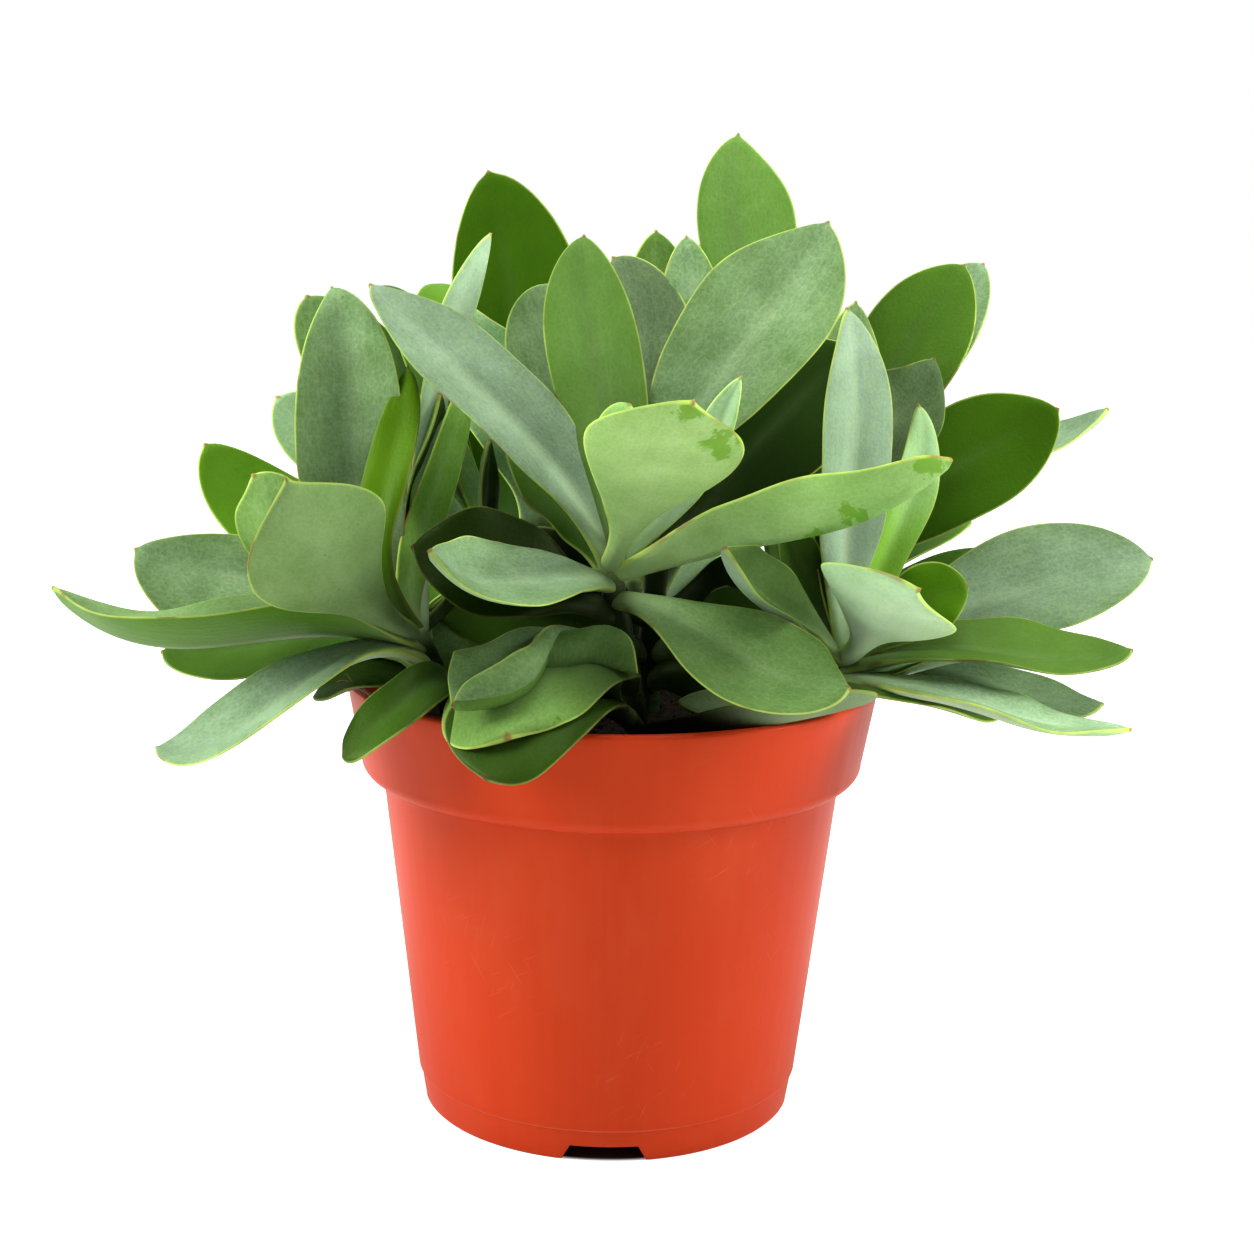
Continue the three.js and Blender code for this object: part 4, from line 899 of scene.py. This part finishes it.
def makeSoil(material):
    # A closed solid: a rough disc over radius and angle on top, then straight down the wall
    p = SimpleNamespace(**soilShape)
    pile = Pile()
    angle = 2 * np.pi * np.arange(p.columns)[None, :] / p.columns
    radius = np.linspace(0, 1, p.rings)[1:][:, None] ** 0.8 * p.edgeRadius
    x, y = radius * np.cos(angle), radius * np.sin(angle)
    rim = smooth((p.edgeRadius - radius) / 3)
    top = np.stack([x, y, p.top + crumbHeight(x, y) * rim - 0.8 * (1 - rim)], -1)
    wall = np.array([(p.neckRadius, p.neckHeight), (p.footRadius, p.bottom)])[:, :, None]
    turned = [wall[:, 0] * np.cos(angle), wall[:, 0] * np.sin(angle), wall[:, 1] * np.ones_like(angle)]
    surface = np.concatenate([top, np.stack(turned, -1)])
    pile.add(surface, (0, 0, p.bottom), (0, 0, p.top), inward=True, tint=0.0)

    rng = np.random.default_rng(p.seed)
    lump = np.array([(math.cos(a) * math.cos(b), math.sin(a) * math.cos(b), math.sin(b))
                     for b in np.radians((-45, 0, 45)) for a in np.arange(6) * math.pi / 3])
    for _ in range(p.crumbCount):
        r = 53 * math.sqrt(rng.random())
        a = 2 * math.pi * rng.random()
        low, high = p.crumbSize
        size = low + (high - low) * rng.random() ** 2
        scale = size * (0.6 + 0.5 * rng.random(3)) / 2
        bumpy = 1 + 0.22 * (rng.random(len(lump))[:, None] - 0.5)
        spot = np.array([r * math.cos(a), r * math.sin(a), 0.0])
        spot[2] = min(p.top + crumbHeight(spot[0], spot[1]) + scale[2] * 0.3, 89.6 - scale[2])
        points = (lump * scale * bumpy + spot).reshape(3, 6, 3)
        tint = 0.5 * rng.random() if rng.random() < 0.25 else 0.0
        pile.add(points, spot + (0, 0, scale[2]), spot - (0, 0, scale[2]), tint=tint)
    return pile.piece("peatFill", material, "peat", ("soil",))


hairShape = {"radius": 0.13, "points": 14, "sides": 6, "darkColour": "#6b3a22", "paleColour": "#b0714a"}


def addHair(pile, start, middle, end):
    # A thin tube along the parabola through three points, drawn out to a fine end
    t = np.linspace(0, 1, hairShape["points"])[:, None]
    start, middle, end = (np.array(p, float) for p in (start, middle, end))
    centre = start * 2 * (t - 0.5) * (t - 1) - middle * 4 * t * (t - 1) + end * 2 * t * (t - 0.5)
    along = unit(np.gradient(centre, axis=0))
    side = unit(np.cross(along, np.array([0.3, 0.2, 1.0])))
    other = np.cross(along, side)
    angle = 2 * np.pi * np.arange(hairShape["sides"])[None, :, None] / hairShape["sides"]
    radius = (hairShape["radius"] * (1 - 0.6 * t))[:, None, :]
    ring = side[:, None, :] * np.cos(angle) + other[:, None, :] * np.sin(angle)
    pile.add(centre[:, None, :] + radius * ring, centre[-1], centre[0], tint=0.0)


peat = peatMaterial()
makeSoil(peat)


def rootMaterial():
    # Dry root hairs: reddish brown and slightly glossy
    material, nodes, shader = newMaterial("dryRoot")
    place = nodes.place()
    colour = nodes.mix(nodes.noise(place, 1.5), rgba(hairShape["darkColour"]), rgba(hairShape["paleColour"]))
    nodes.feed(shader, {"Base Color": colour, "Roughness": 0.6})
    return material


def makeRoots():
    pile = Pile()
    for start, middle, end in (
        ((-46, -30, 89), (-53, -29, 99), (-57, -27, 104)),
        ((-47, -29, 89), (-54, -27, 100.5), (-60, -23, 101)),
        ((-46, -31, 89), (-52.5, -31, 101), (-58.5, -31, 98)),
        ((-20, 2, 89), (-18, 5, 91.5), (-13, 6, 89)),
        ((14, -6, 89), (18, -9, 91), (24, -8, 89)),
        ((20, 30, 89), (24, 33, 91.2), (27, 38, 89)),
        ((-30, 38, 89), (-25, 41, 91), (-20, 40, 89)),
    ):
        addHair(pile, start, middle, end)
    return pile.piece("rootHairs", rootMaterial(), "peat")


makeRoots()
print("soil and roots")


# Stage, light and camera

stage = {
    "floorSize": 6.0, "floorColour": "#f4f4f3", "paperMm": 1000 / 60,
    "worldLight": 0.17, "worldSeen": 1.0, "worldShine": 0.4, "floorSeen": 0.8,
    "footShadow": (0.0405, 0.043), "footShadowColour": "#1d1512",
    "cameraPlace": (0.003, -0.484, 0.2065), "pitch": 11.28, "roll": 1.02,
    "sensor": 36.0, "focalPixels": 2182.0, "framePixels": 1254.0,
}
softLights = {
    # name: place, size in metres, watts, aim
    "leftSoftbox": ((-1.0, -0.2, 0.6), 0.5, 17.0, (0, 0, 0.12)),
    "rightSoftbox": ((1.0, -0.15, 0.6), 0.5, 13.5, (0, 0, 0.1)),
    "topSoftbox": ((0.1, 0.0, 1.2), 0.8, 10.0, (0, 0, 0.12)),
}


def makeFloor():
    material, nodes, shader = newMaterial("palePaperSweep")
    place = nodes.place()
    noise = nodes.noise(place, stage["paperMm"])
    paper = nodes.mix(nodes.ramp(noise, 0.3, 0.7, 0.0, 0.15), rgba(stage["floorColour"]), rgba("#efefee"))
    # Inside the pot's foot the floor is painted dark and its glow is cut: a painted shadow
    fromAxis = nodes.add("VectorMath", {0: place}, operation="LENGTH").outputs["Value"]
    shadow = nodes.ramp(fromAxis, *stage["footShadow"])
    outside = nodes.maths("MULTIPLY", shadow, stage["floorSeen"])
    seen = nodes.add("LightPath").outputs["Is Camera Ray"]
    nodes.feed(shader, {
        "Base Color": nodes.mix(shadow, rgba(stage["footShadowColour"]), paper),
        "Roughness": 0.9,
        "Emission Color": (1, 1, 1, 1),
        "Emission Strength": nodes.maths("MULTIPLY", seen, outside),
    })
    half = stage["floorSize"] / 2
    mesh = bpy.data.meshes.new("paperSweep")
    corners = [(-half, -half, 0), (half, -half, 0), (half, half, 0), (-half, half, 0)]
    mesh.from_pydata(corners, [], [(0, 1, 2, 3)])
    mesh.materials.append(material)
    link(bpy.data.objects.new("paperSweep", mesh))


def makeWorld():
    # White studio walls: the lens sees them white, and they light the plant a little less
    world = bpy.data.worlds.new("whiteStudio")
    nodes = Nodes(world)
    path = nodes.add("LightPath").outputs
    strength = stage["worldLight"]
    for ray, amount in (("Is Glossy Ray", stage["worldShine"]), ("Is Camera Ray", stage["worldSeen"])):
        strength = nodes.maths("MULTIPLY_ADD", path[ray], amount - stage["worldLight"], strength)
    background = nodes.add("Background", {"Color": (1, 1, 1, 1), "Strength": strength})
    nodes.add("OutputWorld", {"Surface": background.outputs[0]})
    bpy.context.scene.world = world


def makeLights():
    for name, (place, size, watts, aim) in softLights.items():
        light = bpy.data.lights.new(name, "AREA")
        light.shape = "SQUARE"
        light.size = size
        light.energy = watts
        lamp = link(bpy.data.objects.new(name, light))
        lamp.location = place
        lamp.rotation_euler = (Vector(aim) - Vector(place)).to_track_quat("-Z", "Y").to_euler()


def makeCamera():
    # Pitched down and turned a degree about its own line of sight
    pitch, roll = math.radians(stage["pitch"]), math.radians(stage["roll"])
    forward = Vector((0, math.cos(pitch), -math.sin(pitch)))
    level = Vector((0, math.sin(pitch), math.cos(pitch)))
    right = Vector((1, 0, 0)) * math.cos(roll) + level * math.sin(roll)
    up = level * math.cos(roll) - Vector((1, 0, 0)) * math.sin(roll)
    data = bpy.data.cameras.new("photoCamera")
    data.sensor_width = stage["sensor"]
    data.lens = stage["focalPixels"] / stage["framePixels"] * stage["sensor"]
    data.clip_start = 0.01
    camera = link(bpy.data.objects.new("photoCamera", data))
    turn = Matrix((right, up, -forward)).transposed().to_4x4()
    camera.matrix_world = Matrix.Translation(stage["cameraPlace"]) @ turn
    bpy.context.scene.camera = camera


makeFloor()
makeWorld()
makeLights()
makeCamera()
bpy.context.scene.view_settings.view_transform = "Standard"
print("stage")
